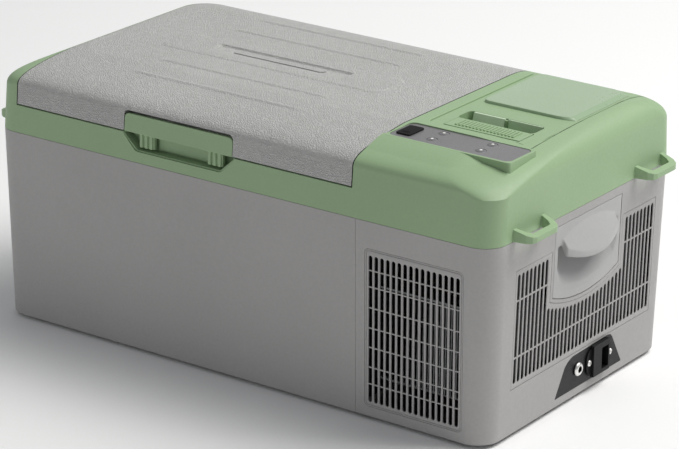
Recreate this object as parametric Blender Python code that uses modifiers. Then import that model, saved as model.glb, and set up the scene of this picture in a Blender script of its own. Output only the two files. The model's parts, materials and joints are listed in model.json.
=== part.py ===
"""Compressor cooler fridge: an insulated tub with a hinged lid, and a compressor bay at the +X end.

Metres, +Z up. The origin is under the middle of the box, on the surface it stands on.
+X points to the compressor end, and the latch is on the -Y side.
"""

import math

import bmesh
import bpy
from mathutils import Matrix, Vector

# Driving dimensions
LENGTH = 0.570
WIDTH = 0.320
HEIGHT = 0.260
FOOT_HEIGHT = 0.003
BODY_TOP = 0.1935
LID_SEAM = 0.2208
LID_LEFT = -0.2575
LID_RIGHT = 0.1332
COVER_SPLIT = 0.140
WALL = 0.003
GAP = 0.0003

# Outer form: a drafted box whose shoulder leans in further at the front than at the back
CORNER_RADIUS = 0.0235
CORNER_GROWTH = 0.0065
SOFT_CORNER_GROWTH = (0.055, 0.120)
CORNER_STEPS = 6
DRAFT = 0.004
BOTTOM_ROUND = 0.0015
SHOULDER_START = 0.237
SHOULDER_STEPS = (0, 0.20, 0.38, 0.52, 0.64, 0.75, 0.84, 0.92, 0.975, 1)
FRONT_SLOPE = (0.0036, 0.080, 3.45)
LEFT_SLOPE = (0.0006, 0.032, 2)
BACK_ROUND = (0.0020, 0.052)
RIGHT_ROUND = (0.0006, 0.024)

# Tub, in the plan: low x, high x and half width
TUB = (-0.2355, 0.0985, 0.1225)
TUB_FLOOR = 0.0315
TUB_WALL = 0.0015
TUB_RADIUS = 0.0185
DECK_TOP = 0.2205
DECK_UNDER = 0.2175

# Hinge and latch
HINGE_Y = 0.1555
HINGE_Z = 0.2225
HINGE_CENTRES = (-0.181, 0.059)
KNUCKLE_RADIUS = 0.0043
KNUCKLE_CLEARANCE = 0.0048
PIN_RADIUS = 0.0015
LID_KNUCKLE_HALF = 0.014
FRAME_KNUCKLE_END = 0.030
LATCH = (-0.1264, -0.0003)
RECESS = (-0.1264, 0.0018)
LATCH_TOP = 0.2392
LATCH_Y = -0.1539
LATCH_Z = 0.2355
LATCH_KNUCKLE = 0.0023
POCKET_BACK = -0.143
LEGS = ((-0.1100, -0.0925), (-0.0300, -0.0125))

# Strap loops, above the seam between body and top frame
LOOP_Y = 0.105
LOOP_END = 0.304

# Compressor bay
FAN_CENTRE = (0.208, 0.085)
COMPRESSOR_CENTRE = (0.212, 0.070)
JACK = (-0.0017, 0.0305)
BUTTONS = {
    "button_power": (0.1785, -0.0775),
    "button_set": (0.1785, -0.0970),
    "button_minus": (0.2305, -0.0775),
    "button_plus": (0.2305, -0.0970),
}
BUTTON_RADIUS = 0.005
PANEL = (0.1385, 0.2675, -0.1090, -0.0690)
PANEL_TOP = 0.2590
PANEL_RADIUS = 0.006
USB_MOUTH = (0.1445, 0.1560, -0.1000, -0.0805)
TRAY_FLOOR = 0.2586
PAD_TOP = 0.2612
FLAP = (0.1620, 0.2435, -0.0550, -0.0290)
FLAP_PIVOT = (-0.0527, 0.2571)
SLOT = (0.1603, 0.2420, -0.0300, -0.0055)
SLOT_FLOOR = 0.2155
FLAP_RIBS = 12

parts = bpy.data.collections.new("compressor_cooler_fridge")


# ---------------------------------------------------------------- helpers


def start_empty():
    for thing in list(bpy.data.objects):
        bpy.data.objects.remove(thing)
    bpy.context.scene.collection.children.link(parts)


def new_object(name, mesh):
    made = bpy.data.objects.new(name, mesh)
    parts.objects.link(made)
    return made


def from_bmesh(name, bm):
    bmesh.ops.recalc_face_normals(bm, faces=bm.faces)
    mesh = bpy.data.meshes.new(name)
    bm.to_mesh(mesh)
    bm.free()
    return new_object(name, mesh)


def box(name, low, high):
    bm = bmesh.new()
    bmesh.ops.create_cube(bm, size=1)
    size = Vector(high) - Vector(low)
    middle = (Vector(high) + Vector(low)) / 2
    bmesh.ops.scale(bm, vec=size, verts=bm.verts)
    bmesh.ops.translate(bm, vec=middle, verts=bm.verts)
    return from_bmesh(name, bm)


def slab(name, low, high, radius, steps=4):
    """A box whose upright edges are rounded."""
    bm = bmesh.new()
    bmesh.ops.create_cube(bm, size=1)
    bmesh.ops.scale(bm, vec=Vector(high) - Vector(low), verts=bm.verts)
    bmesh.ops.translate(bm, vec=(Vector(high) + Vector(low)) / 2, verts=bm.verts)
    upright = [e for e in bm.edges if abs(e.verts[0].co.z - e.verts[1].co.z) > 1e-6]
    bmesh.ops.bevel(bm, geom=upright, offset=radius, segments=steps, profile=0.5, affect="EDGES")
    return from_bmesh(name, bm)


def cylinder(name, radius, start, end, segments=24):
    bm = bmesh.new()
    start = Vector(start)
    axis = Vector(end) - start
    turn = axis.to_track_quat("Z", "Y").to_matrix().to_4x4()
    place = Matrix.Translation(start + axis / 2) @ turn
    bmesh.ops.create_cone(
        bm, cap_ends=True, segments=segments, radius1=radius, radius2=radius, depth=axis.length, matrix=place
    )
    return from_bmesh(name, bm)


def evaluated_mesh(thing):
    bpy.context.view_layer.update()
    graph = bpy.context.evaluated_depsgraph_get()
    return bpy.data.meshes.new_from_object(thing.evaluated_get(graph))


def curve_to_mesh(name, holder, merge):
    mesh = evaluated_mesh(holder)
    mesh.transform(holder.matrix_world)
    bpy.data.objects.remove(holder)
    bm = bmesh.new()
    bm.from_mesh(mesh)
    bmesh.ops.remove_doubles(bm, verts=bm.verts, dist=merge)
    return from_bmesh(name, bm)


AXIS_TURN = {
    "X": Matrix(((0, 0, 1, 0), (1, 0, 0, 0), (0, 1, 0, 0), (0, 0, 0, 1))),
    "Y": Matrix(((1, 0, 0, 0), (0, 0, -1, 0), (0, 1, 0, 0), (0, 0, 0, 1))),
    "Z": Matrix.Identity(4),
}


def prism(name, outline, axis, low, high):
    """A flat outline extruded along an axis. The outline is (y, z) for X, (x, z) for Y and (x, y) for Z."""
    curve = bpy.data.curves.new(name, "CURVE")
    curve.dimensions = "2D"
    curve.fill_mode = "BOTH"
    curve.extrude = (high - low) / 2
    spline = curve.splines.new("POLY")
    spline.points.add(len(outline) - 1)
    for point, (u, v) in zip(spline.points, outline):
        point.co = (u, v, 0, 1)
    spline.use_cyclic_u = True
    holder = new_object(name, curve)
    shift = Vector((0, 0, 0))
    shift["XYZ".index(axis)] = (low + high) / 2
    holder.matrix_world = Matrix.Translation(shift) @ AXIS_TURN[axis]
    return curve_to_mesh(name, holder, 1e-6)


def turned(name, profile, place, steps=24):
    """A profile of (radius, height) turned about an upright axis. It runs down the outer side."""
    bm = bmesh.new()
    points = [bm.verts.new((r, 0, z)) for r, z in profile]
    for first, second in zip(points, points[1:]):
        bm.edges.new((first, second))
    mesh = bpy.data.meshes.new(name)
    bm.to_mesh(mesh)
    bm.free()
    holder = new_object(name, mesh)
    screw = holder.modifiers.new("Turn", "SCREW")
    screw.steps = steps
    screw.render_steps = steps
    screw.use_merge_vertices = True
    screw.merge_threshold = 1e-5
    holder.location = place
    return settle(holder)


def settle(thing):
    """Turns an object's modifiers and place into plain mesh in world space."""
    mesh = evaluated_mesh(thing)
    mesh.transform(thing.matrix_world)
    thing.modifiers.clear()
    thing.data = mesh
    thing.matrix_world = Matrix.Identity(4)
    return thing


def tube(name, route, radius):
    curve = bpy.data.curves.new(name, "CURVE")
    curve.dimensions = "3D"
    curve.bevel_depth = radius
    curve.bevel_resolution = 2
    curve.use_fill_caps = True
    spline = curve.splines.new("POLY")
    spline.points.add(len(route) - 1)
    for point, place in zip(spline.points, route):
        point.co = (*place, 1)
    return curve_to_mesh(name, new_object(name, curve), 1e-6)


def rounded_route(corners, bend, steps=4):
    """Straight runs between corner points, each corner rounded off by a curve tangent to both runs."""
    corners = [Vector(c) for c in corners]
    route = [corners[0]]
    for before, here, after in zip(corners, corners[1:], corners[2:]):
        enter = here + (before - here).normalized() * bend
        leave = here + (after - here).normalized() * bend
        for step in range(steps + 1):
            t = step / steps
            route.append(enter * (1 - t) ** 2 + here * 2 * t * (1 - t) + leave * t**2)
    route.append(corners[-1])
    return route


def boolean(target, operation, tools):
    for tool in tools:
        step = target.modifiers.new(operation.title(), "BOOLEAN")
        step.operation = operation
        step.object = tool
    settle(target)
    for tool in tools:
        bpy.data.objects.remove(tool)
    return target


def cut(target, *tools):
    return boolean(target, "DIFFERENCE", tools)


def join(target, *tools):
    return boolean(target, "UNION", tools)


def keep(target, *tools):
    return boolean(target, "INTERSECT", tools)


def joined_boxes(name, boxes):
    """Boxes that don't touch, held in one mesh, to be used as one cutter."""
    bm = bmesh.new()
    for low, high in boxes:
        made = bmesh.ops.create_cube(bm, size=1)["verts"]
        bmesh.ops.scale(bm, vec=Vector(high) - Vector(low), verts=made)
        bmesh.ops.translate(bm, vec=(Vector(high) + Vector(low)) / 2, verts=made)
    return from_bmesh(name, bm)


def finish(thing, colour, roughness, metallic=0.0, smooth=False):
    surface = bpy.data.materials.new(thing.name)
    surface.use_nodes = True
    shader = surface.node_tree.nodes["Principled BSDF"]
    shader.inputs["Base Color"].default_value = (*colour, 1)
    shader.inputs["Roughness"].default_value = roughness
    shader.inputs["Metallic"].default_value = metallic
    thing.data.materials.clear()
    thing.data.materials.append(surface)
    if smooth:
        thing.data.shade_smooth()
        thing.data.set_sharp_from_angle(angle=math.radians(35))
    return thing


def hang(pieces, name, point):
    """Gives the pieces of one moving body a common parent on their joint's axis."""
    pivot = bpy.data.objects.new(name, None)
    pivot.location = point
    parts.objects.link(pivot)
    for piece in pieces:
        piece.data.transform(Matrix.Translation(-Vector(point)))
        piece.parent = pivot


GREY = (0.36, 0.35, 0.34)
LID_GREY = (0.42, 0.42, 0.40)
GREEN = (0.27, 0.42, 0.24)
PANEL_GREY = (0.25, 0.25, 0.26)
DARK = (0.06, 0.06, 0.065)
BLACK = (0.015, 0.015, 0.015)
WHITE = (0.75, 0.76, 0.75)
FOAM = (0.75, 0.65, 0.40)
STEEL = (0.60, 0.60, 0.60)
COPPER = (0.72, 0.36, 0.20)
ALUMINIUM = (0.75, 0.76, 0.78)


# ------------------------------------------------------------- outer form


def plan_ring(left, right, front, back, radius, soft=None):
    """A rounded rectangle, as points in order round it. Its front right corner may be a softer ellipse."""
    ring = []
    corners = ((right, back, -1, -1), (left, back, 1, -1), (left, front, 1, 1), (right, front, -1, 1))
    for turn, (side_x, side_y, in_x, in_y) in enumerate(corners):
        radius_x, radius_y = soft if soft and turn == 3 else (radius, radius)
        for step in range(CORNER_STEPS + 1):
            angle = math.pi / 2 * (turn + step / CORNER_STEPS)
            x = side_x + in_x * radius_x + radius_x * math.cos(angle)
            y = side_y + in_y * radius_y + radius_y * math.sin(angle)
            ring.append((x, y))
    return ring


def form_levels():
    """Height, the four sides, corner radius and soft corner of the outer form, from the bottom up."""
    half_x, half_y = LENGTH / 2, WIDTH / 2
    levels = []
    for height, inward in ((0, DRAFT + BOTTOM_ROUND), (BOTTOM_ROUND, DRAFT), (BODY_TOP - FOOT_HEIGHT, 0)):
        sides = (-half_x + inward, half_x - inward, -half_y + inward, half_y - inward)
        levels.append((FOOT_HEIGHT + height, sides, CORNER_RADIUS, (CORNER_RADIUS, CORNER_RADIUS)))
    for t in SHOULDER_STEPS:
        bend = 1 - math.sqrt(1 - t * t)
        left = -half_x + LEFT_SLOPE[0] + LEFT_SLOPE[1] * t ** LEFT_SLOPE[2]
        right = half_x - RIGHT_ROUND[0] - RIGHT_ROUND[1] * bend
        front = -half_y + FRONT_SLOPE[0] + FRONT_SLOPE[1] * t ** FRONT_SLOPE[2]
        back = half_y - BACK_ROUND[0] - BACK_ROUND[1] * bend
        height = SHOULDER_START + (HEIGHT - SHOULDER_START) * t
        soft = [CORNER_RADIUS + growth * t for growth in SOFT_CORNER_GROWTH]
        levels.append((height, (left, right, front, back), CORNER_RADIUS + CORNER_GROWTH * t, soft))
    return levels


def outer_form(name, inset=0.0):
    """The whole outside of the box without its feet, or the same shape moved inwards."""
    bm = bmesh.new()
    rings = []
    for height, (left, right, front, back), radius, (soft_x, soft_y) in form_levels():
        if height < 0.01:
            height += inset
        if height > BODY_TOP + 0.01:
            height -= inset
        less = 0.8 * inset
        soft = (soft_x - less, soft_y - less)
        plan = plan_ring(left + inset, right - inset, front + inset, back - inset, radius - less, soft)
        rings.append([bm.verts.new((x, y, height)) for x, y in plan])
    for lower, upper in zip(rings, rings[1:]):
        count = len(lower)
        for k in range(count):
            after = (k + 1) % count
            bm.faces.new((lower[k], lower[after], upper[after], upper[k]))
    bm.faces.new(list(reversed(rings[0])))
    bm.faces.new(rings[-1])
    return from_bmesh(name, bm)


def skin(name, thickness, region):
    """The outermost layer of the form inside a region."""
    return cut(keep(outer_form(name), region), outer_form("inside", thickness))


# ---------------------------------------------------------- body and base

CELL_GAP = 0.0016
FRONT_GRILLE = (0.150, 0.256, 0.0135, 0.168)
FRONT_COLUMNS = 16
FRONT_PITCH = 0.00623
FRONT_RIBS = (0.0360, 0.0525, 0.0720, 0.0910, 0.1107, 0.1310, 0.1470)
FRONT_SLOTS = (0.0182, 0.1615)
BACK_RIBS = (0.0525, 0.0910, 0.1310)
SLOT_WIDTH = 0.0042
END_COLUMNS = 36
END_PITCH = 0.00666
END_SLOT_WIDTH = 0.0033
END_RIB_LOW = 0.0775
END_RIB_HIGH = 0.1310
END_SLOT_BOTTOM = 0.0530
END_MIDDLE = 0.0045
HANDLE_HALF = 0.058
GRIP_HALF = 0.045
GRIP_STEPS = 10


def arc_outline(half, top, side_bottom, middle_bottom, steps=8):
    """A tall shape with straight sides and a bottom that bulges down in the middle, as (y, z)."""
    outline = [(END_MIDDLE + half, top), (END_MIDDLE - half, top)]
    for step in range(steps + 1):
        across = -1 + 2 * step / steps
        drop = (side_bottom - middle_bottom) * (1 - across**2)
        outline.append((END_MIDDLE + half * across, side_bottom - drop))
    return outline


def handle_outline(inset):
    return arc_outline(HANDLE_HALF - inset, 0.185 - inset, 0.117 + inset, 0.106 + inset)


def make_body_shell():
    shell = keep(outer_form("body_shell"), box("keep", (-0.4, -0.2, 0), (COVER_SPLIT, 0.2, BODY_TOP)))
    hollow = keep(outer_form("hollow", WALL), box("keep", (-0.4, -0.2, 0), (COVER_SPLIT - WALL, 0.2, 0.3)))
    opening = prism("opening", [(-y, z) for y, z in handle_outline(-GAP)], "X", -0.30, -0.26)
    cut(shell, hollow, opening)
    return finish(shell, GREY, 0.55, smooth=True)


def make_machine_cover():
    region = box("keep", (COVER_SPLIT + 0.0005, -0.2, 0), (0.4, 0.2, BODY_TOP))
    cover = keep(outer_form("machine_cover"), region)
    cut(cover, outer_form("hollow", WALL), slab("floor", (0.10, -0.1534, 0), (0.2784, 0.1534, 0.01), 0.022))
    low_x, high_x, low_z, high_z = FRONT_GRILLE
    front = box("front", (low_x, -0.17, low_z), (high_x, -0.14, high_z))
    back = box("back", (low_x, 0.14, low_z), (high_x, 0.17, high_z))
    end = prism("end", end_grille_outline(GAP), "X", 0.26, 0.30)
    handle = prism("handle", handle_outline(-GAP), "X", 0.26, 0.30)
    plate = cut(prism("plate", inlet_outline(GAP), "X", 0.26, 0.30), outer_form("inside", 0.0015))
    cut(cover, front, back, end, handle, plate, *inlet_holes())
    return finish(cover, GREY, 0.55, smooth=True)


def grille_cells(columns, pitch, middle, width, bottom, top_of, ribs_of):
    """Low and high corners, along the wall and up, of each opening of a slotted grille."""
    cells = []
    for column in range(columns):
        centre = middle + (column - (columns - 1) / 2) * pitch
        levels = [bottom, *ribs_of(column), top_of(column)]
        for number, (low, high) in enumerate(zip(levels, levels[1:])):
            low += CELL_GAP / 2 if number > 0 else 0
            high -= CELL_GAP / 2 if number < len(levels) - 2 else 0
            cells.append(((centre - width / 2, low), (centre + width / 2, high)))
    return cells


def make_side_grille(name, side, ribs):
    """The slotted insert in the front wall or in the back wall."""
    low_x, high_x, low_z, high_z = FRONT_GRILLE
    wall = sorted((side * 0.14, side * 0.17))
    region = box("region", (low_x + GAP, wall[0], low_z + GAP), (high_x - GAP, wall[1], high_z - GAP))
    grille = skin(name, 0.0025, region)
    bottom, top = FRONT_SLOTS
    cells = grille_cells(
        FRONT_COLUMNS, FRONT_PITCH, (low_x + high_x) / 2, SLOT_WIDTH, bottom, lambda c: top, lambda c: ribs
    )
    boxes = [((x0, wall[0], z0), (x1, wall[1], z1)) for (x0, z0), (x1, z1) in cells]
    return finish(cut(grille, joined_boxes("slots", boxes)), GREY, 0.55)


def end_grille_outline(grow):
    """The U round the handle, as (y, z)."""
    front, back = END_MIDDLE - 0.122 - grow, END_MIDDLE + 0.122 + grow
    low = 0.0485 - grow
    high = 0.163 + grow
    notch = arc_outline(0.062 - grow, high, 0.114 + grow, 0.102 + grow)
    return [
        (front, low), (back, low), (back, high), notch[0], *reversed(notch[2:]), notch[1], (front, high)
    ]


def end_slot_top(column):
    """Slots beside the handle run to the top, and those under it follow its round bottom."""
    across = (column - (END_COLUMNS - 1) / 2) * END_PITCH
    if abs(across) > 0.066:
        return 0.1585
    return 0.110 - 0.012 * (1 - (across / 0.066) ** 2)


def end_slot_ribs(column):
    across = (column - (END_COLUMNS - 1) / 2) * END_PITCH
    return (END_RIB_LOW, END_RIB_HIGH) if abs(across) > 0.066 else (END_RIB_LOW,)


def make_end_grille():
    grille = skin("end_grille", 0.0025, prism("region", end_grille_outline(0), "X", 0.26, 0.30))
    cells = grille_cells(
        END_COLUMNS, END_PITCH, END_MIDDLE, END_SLOT_WIDTH, END_SLOT_BOTTOM, end_slot_top, end_slot_ribs
    )
    boxes = [((0.26, y0, z0), (0.30, y1, z1)) for (y0, z0), (y1, z1) in cells]
    return finish(cut(grille, joined_boxes("slots", boxes)), GREY, 0.55)


def grip_section(u):
    """The grip cut across at u, from -1 at one end to 1 at the other, as (x, z)."""
    wall = LENGTH / 2
    top = 0.1788 - 0.0088 * u * u
    proud = wall + 0.0128 - 0.0078 * u * u
    edge = 0.1510 + 0.0110 * u * u
    under = 0.1466 + 0.0082 * u * u
    return [
        (wall - 0.0028, top),
        (wall + 0.0002, top),
        (proud, edge + 0.0010),
        (proud, under + 0.0010),
        (proud - 0.0012, under),
        (proud - 0.0040, under + 0.0012),
        (wall - 0.0028, 0.1655),
    ]


def make_grip():
    """A proud lip that swells in the middle: unlike cuts across, lofted along Y."""
    bm = bmesh.new()
    rings = []
    for step in range(GRIP_STEPS + 1):
        u = -1 + 2 * step / GRIP_STEPS
        rings.append([bm.verts.new((x, END_MIDDLE + u * GRIP_HALF, z)) for x, z in grip_section(u)])
    for here, after in zip(rings, rings[1:]):
        for k in range(len(here)):
            bm.faces.new((here[k], here[k - 1], after[k - 1], after[k]))
    bm.faces.new(rings[0])
    bm.faces.new(rings[-1])
    return from_bmesh("grip", bm)


def hand_room(inset, top):
    return arc_outline(HANDLE_HALF - inset, top, 0.117 + inset, 0.106 + inset)


def make_handle(name, side):
    """A carrying handle: face plate, finger pocket and proud grip. The -X one is turned half a turn."""
    plate = skin(name, WALL, prism("region", handle_outline(0), "X", 0.26, 0.30))
    pocket = prism("pocket", hand_room(0.0065, 0.1680), "X", 0.2620, 0.2835)
    hollow = prism("hollow", hand_room(0.0090, 0.1650), "X", 0.2640, 0.3000)
    cut(join(plate, pocket), hollow)
    join(plate, make_grip())
    if side < 0:
        plate.data.transform(Matrix.Rotation(math.pi, 4, "Z"))
    return finish(plate, GREY, 0.5, smooth=True)


def make_base():
    tray = slab("base_tray", (COVER_SPLIT + 0.0008, -0.1530, FOOT_HEIGHT), (0.2780, 0.1530, 0.0070), 0.0216)
    finish(tray, STEEL, 0.4, 0.9)
    places = [(-0.230, -0.115), (-0.230, 0.115), (0.245, -0.115), (0.245, 0.115)]
    for number, (x, y) in enumerate(places, 1):
        profile = [
            (0, FOOT_HEIGHT - GAP), (0.0115, FOOT_HEIGHT - GAP), (0.012, 0.0008), (0.0112, 0), (0, 0)
        ]
        finish(turned(f"foot_{number}", profile, (x, y, 0)), BLACK, 0.8, smooth=True)


# -------------------------------------------------------- green top frame


def knuckle(name, radius, low, high):
    return cylinder(name, radius, (low, HINGE_Y, HINGE_Z), (high, HINGE_Y, HINGE_Z), 20)


def strap_loop(side_x, side_y):
    """One eye for the shoulder strap: a tapered U whose hole is upright."""
    root = 0.2820
    centre_y = side_y * LOOP_Y + side_x * END_MIDDLE
    half = [(root, 0.0264), (0.2845, 0.0262), (0.2975, 0.0240), (0.3022, 0.0208), (LOOP_END, 0.0160)]
    hole = [(0.2848, 0.0208), (0.2935, 0.0180), (0.2978, 0.0142)]
    outer = half + [(x, -y) for x, y in reversed(half)]
    inner = hole + [(x, -y) for x, y in reversed(hole)]
    side_profile = [
        (root, BODY_TOP + GAP),
        (root, 0.2062),
        (LOOP_END, 0.1998),
        (LOOP_END, 0.1945),
        (0.3020, BODY_TOP + GAP),
    ]
    loop = prism("loop", [(side_x * x, centre_y + y) for x, y in outer], "Z", 0.190, 0.207)
    side = prism("side", [(side_x * x, z) for x, z in side_profile], "Y", centre_y - 0.04, centre_y + 0.04)
    keep(loop, side)
    return cut(loop, prism("hole", [(side_x * x, centre_y + y) for x, y in inner], "Z", 0.18, 0.21))


def finger_recess():
    """The hollow under the latch, as (x, z)."""
    left, right = RECESS
    return [
        (left, 0.23),
        (right, 0.23),
        (right, 0.2195),
        (right - 0.0145, 0.2065),
        (right - 0.0165, 0.2055),
        (left + 0.0165, 0.2055),
        (left + 0.0145, 0.2065),
        (left, 0.2195),
    ]


def flap_rod(name, radius, beyond):
    """A rod on the ribbed flap's axis, reaching past its ends."""
    y, z = FLAP_PIVOT
    return cylinder(name, radius, (FLAP[0] - beyond, y, z), (FLAP[1] + beyond, y, z), 12)


def make_top_frame():
    frame = keep(outer_form("top_frame"), box("keep", (-0.4, -0.2, BODY_TOP + GAP), (0.4, 0.2, 0.3)))
    low_x, high_x, low_y, high_y = PANEL
    boss = slab(
        "boss", (low_x - 0.0025, low_y - 0.0030, 0.245), (high_x + 0.0025, high_y + 0.0030, 0.2594), 0.003
    )
    join(frame, boss, slab("pad", (0.1545, 0.0215, 0.25), (0.2475, 0.1225, PAD_TOP), 0.007))
    lid_space = box("lid_space", (LID_LEFT - GAP, -0.2, DECK_TOP), (LID_RIGHT + GAP, 0.2, 0.3))
    hollow = outer_form("hollow", WALL)
    deck = box("deck", (LID_LEFT - GAP - WALL, -0.2, DECK_UNDER), (LID_RIGHT + GAP + WALL, 0.2, 0.3))
    thick = [
        deck,
        box(
            "latch_block", (RECESS[0] - WALL, -0.17, 0.201), (RECESS[1] + WALL, POCKET_BACK - 0.0005, 0.22)
        ),
        box("boss_floor", (0.130, -0.125, 0.2540), (0.2735, -0.060, 0.27)),
        box("tray_floor", (0.130, -0.0650, 0.2550), (0.2660, 0.1320, 0.27)),
        box(
            "slot_walls",
            (SLOT[0] - WALL, SLOT[2] - WALL, SLOT_FLOOR - 0.0025),
            (SLOT[1] + WALL, SLOT[3] + WALL, 0.26),
        ),
        box("flap_floor", (FLAP[0] - WALL, FLAP[2] - WALL, 0.2520), (FLAP[1] + WALL, FLAP[3], 0.26)),
    ]
    cut(hollow, *thick)
    cut(frame, lid_space, hollow)

    low, high, half = TUB
    margin = TUB_WALL + 0.0004
    tub_low = (low - margin, -half - margin, 0.19)
    tub_high = (high + margin, half + margin, 0.23)
    tray = slab("tray", (0.1475, -0.0575, TRAY_FLOOR), (0.2580, 0.1290, 0.27), 0.006)
    cut(tray, slab("pad_room", (0.1540, 0.0210, 0.25), (0.2480, 0.1230, 0.28), 0.0075))
    seat_low = (low_x - GAP, low_y - GAP, PANEL_TOP - 0.0016)
    seat_high = (high_x + GAP, high_y + GAP, 0.27)
    usb_low, usb_high, usb_front, usb_back = USB_MOUTH
    cutters = [
        slab("tub", tub_low, tub_high, TUB_RADIUS + margin),
        prism("finger_recess", finger_recess(), "Y", -0.17, -0.146),
        box("back_rebate", (LID_LEFT - GAP, 0.1505, 0.2185), (LID_RIGHT + GAP, 0.2, 0.23)),
        tray,
        slab("panel_seat", seat_low, seat_high, PANEL_RADIUS + GAP),
        box("flap_bay", (FLAP[0], FLAP[2], 0.2547), (FLAP[1], FLAP[3], 0.27)),
        slab("phone_slot", (SLOT[0], SLOT[2], SLOT_FLOOR), (SLOT[1], SLOT[3], 0.27), 0.006),
        flap_rod("flap_pivot", 0.0013, 0.0020),
        box("usb_hole", (usb_low, usb_front, 0.24), (usb_high, usb_back, 0.27)),
        *[cylinder("button_hole", 0.0054, (x, y, 0.24), (x, y, 0.27), 20) for x, y in BUTTONS.values()],
    ]
    cut(frame, *cutters)

    cut(frame, *[knuckle("notch", KNUCKLE_CLEARANCE, c - 0.0145, c + 0.0145) for c in HINGE_CENTRES])
    ears = [knuckle("ear", KNUCKLE_RADIUS, c - FRAME_KNUCKLE_END, c - 0.0145) for c in HINGE_CENTRES]
    ears += [knuckle("ear", KNUCKLE_RADIUS, c + 0.0145, c + FRAME_KNUCKLE_END) for c in HINGE_CENTRES]
    loops = [strap_loop(x, y) for x in (-1, 1) for y in (-1, 1)]
    join(frame, *ears, *loops)
    cut(frame, *[knuckle("pin_hole", PIN_RADIUS + 0.0003, c - 0.032, c + 0.032) for c in HINGE_CENTRES])
    return finish(frame, GREEN, 0.5, smooth=True)


def make_catch_plate():
    plate = slab("catch_plate", (-0.0918, -0.1495, 0.2075), (-0.0307, -0.1463, 0.2195), 0.001, 1)
    return finish(plate, GREEN, 0.5)


# --------------------------------------------------------------- the tub


def make_tub():
    low, high, half = TUB
    t = TUB_WALL
    liner = slab(
        "inner_liner", (low - t, -half - t, TUB_FLOOR - t), (high + t, half + t, 0.2223), TUB_RADIUS + t
    )
    join(
        liner,
        slab(
            "flange",
            (low - 0.0115, -half - 0.0115, DECK_TOP + GAP),
            (high + 0.0115, half + 0.0115, 0.2223),
            0.026,
        ),
    )
    cut(liner, slab("inside", (low, -half, TUB_FLOOR), (high, half, 0.25), TUB_RADIUS))
    finish(liner, WHITE, 0.4, smooth=True)

    foam = keep(
        outer_form("insulation_foam", WALL + 0.0006),
        box("keep", (-0.4, -0.2, 0.0078), (0.1365, 0.2, 0.2170)),
    )
    around = 0.0095
    cut(
        foam,
        slab(
            "cavity",
            (low - around, -half - around, TUB_FLOOR - t - GAP),
            (high + around, half + around, 0.25),
            0.027,
        ),
        box(
            "latch_room",
            (RECESS[0] - 0.0045, -0.2, 0.2004),
            (RECESS[1] + 0.0045, POCKET_BACK + 0.0001, 0.25),
        ),
        prism("handle_room", [(-y, z) for y, z in handle_outline(0.0035)], "X", -0.30, -0.2615),
        box("end_room", (-0.4, -0.2, 0.21), (-0.2815, 0.2, 0.25)),
    )
    finish(foam, FOAM, 0.9)

    turns, bottom, pitch, away = 5, 0.055, 0.028, 0.0046
    out = away + t
    ring = plan_ring(low - out, high + out, -half - out, half + out, 0.024)[::2]
    route = []
    for number in range(turns * len(ring) + 1):
        route.append((*ring[number % len(ring)], bottom + pitch * number / len(ring)))
    finish(tube("evaporator_coil", route, 0.003), COPPER, 0.35, 1.0, smooth=True)

    lamp = slab(
        "interior_lamp", (high - 0.0030, -0.0200, 0.1960), (high - 0.0003, 0.0200, 0.2080), 0.001, 1
    )
    finish(lamp, WHITE, 0.2)


# --------------------------------------------------------- lid and latch


def latch_outline(grow, headroom):
    """The latch seen from the front, with its upper corners rounded, as (x, z)."""
    left, right, top = LATCH[0] - grow, LATCH[1] + grow, LATCH_TOP + headroom
    radius = 0.005
    outline = [(right, 0.19), (left, 0.19)]
    for step in range(5):
        angle = math.pi - math.pi / 2 * step / 4
        outline.append((left + radius + radius * math.cos(angle), top - radius + radius * math.sin(angle)))
    for step in range(5):
        angle = math.pi / 2 - math.pi / 2 * step / 4
        outline.append((right - radius + radius * math.cos(angle), top - radius + radius * math.sin(angle)))
    return outline


def latch_rod(name, radius, low, high, segments=12):
    return cylinder(name, radius, (low, LATCH_Y, LATCH_Z), (high, LATCH_Y, LATCH_Z), segments)


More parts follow.
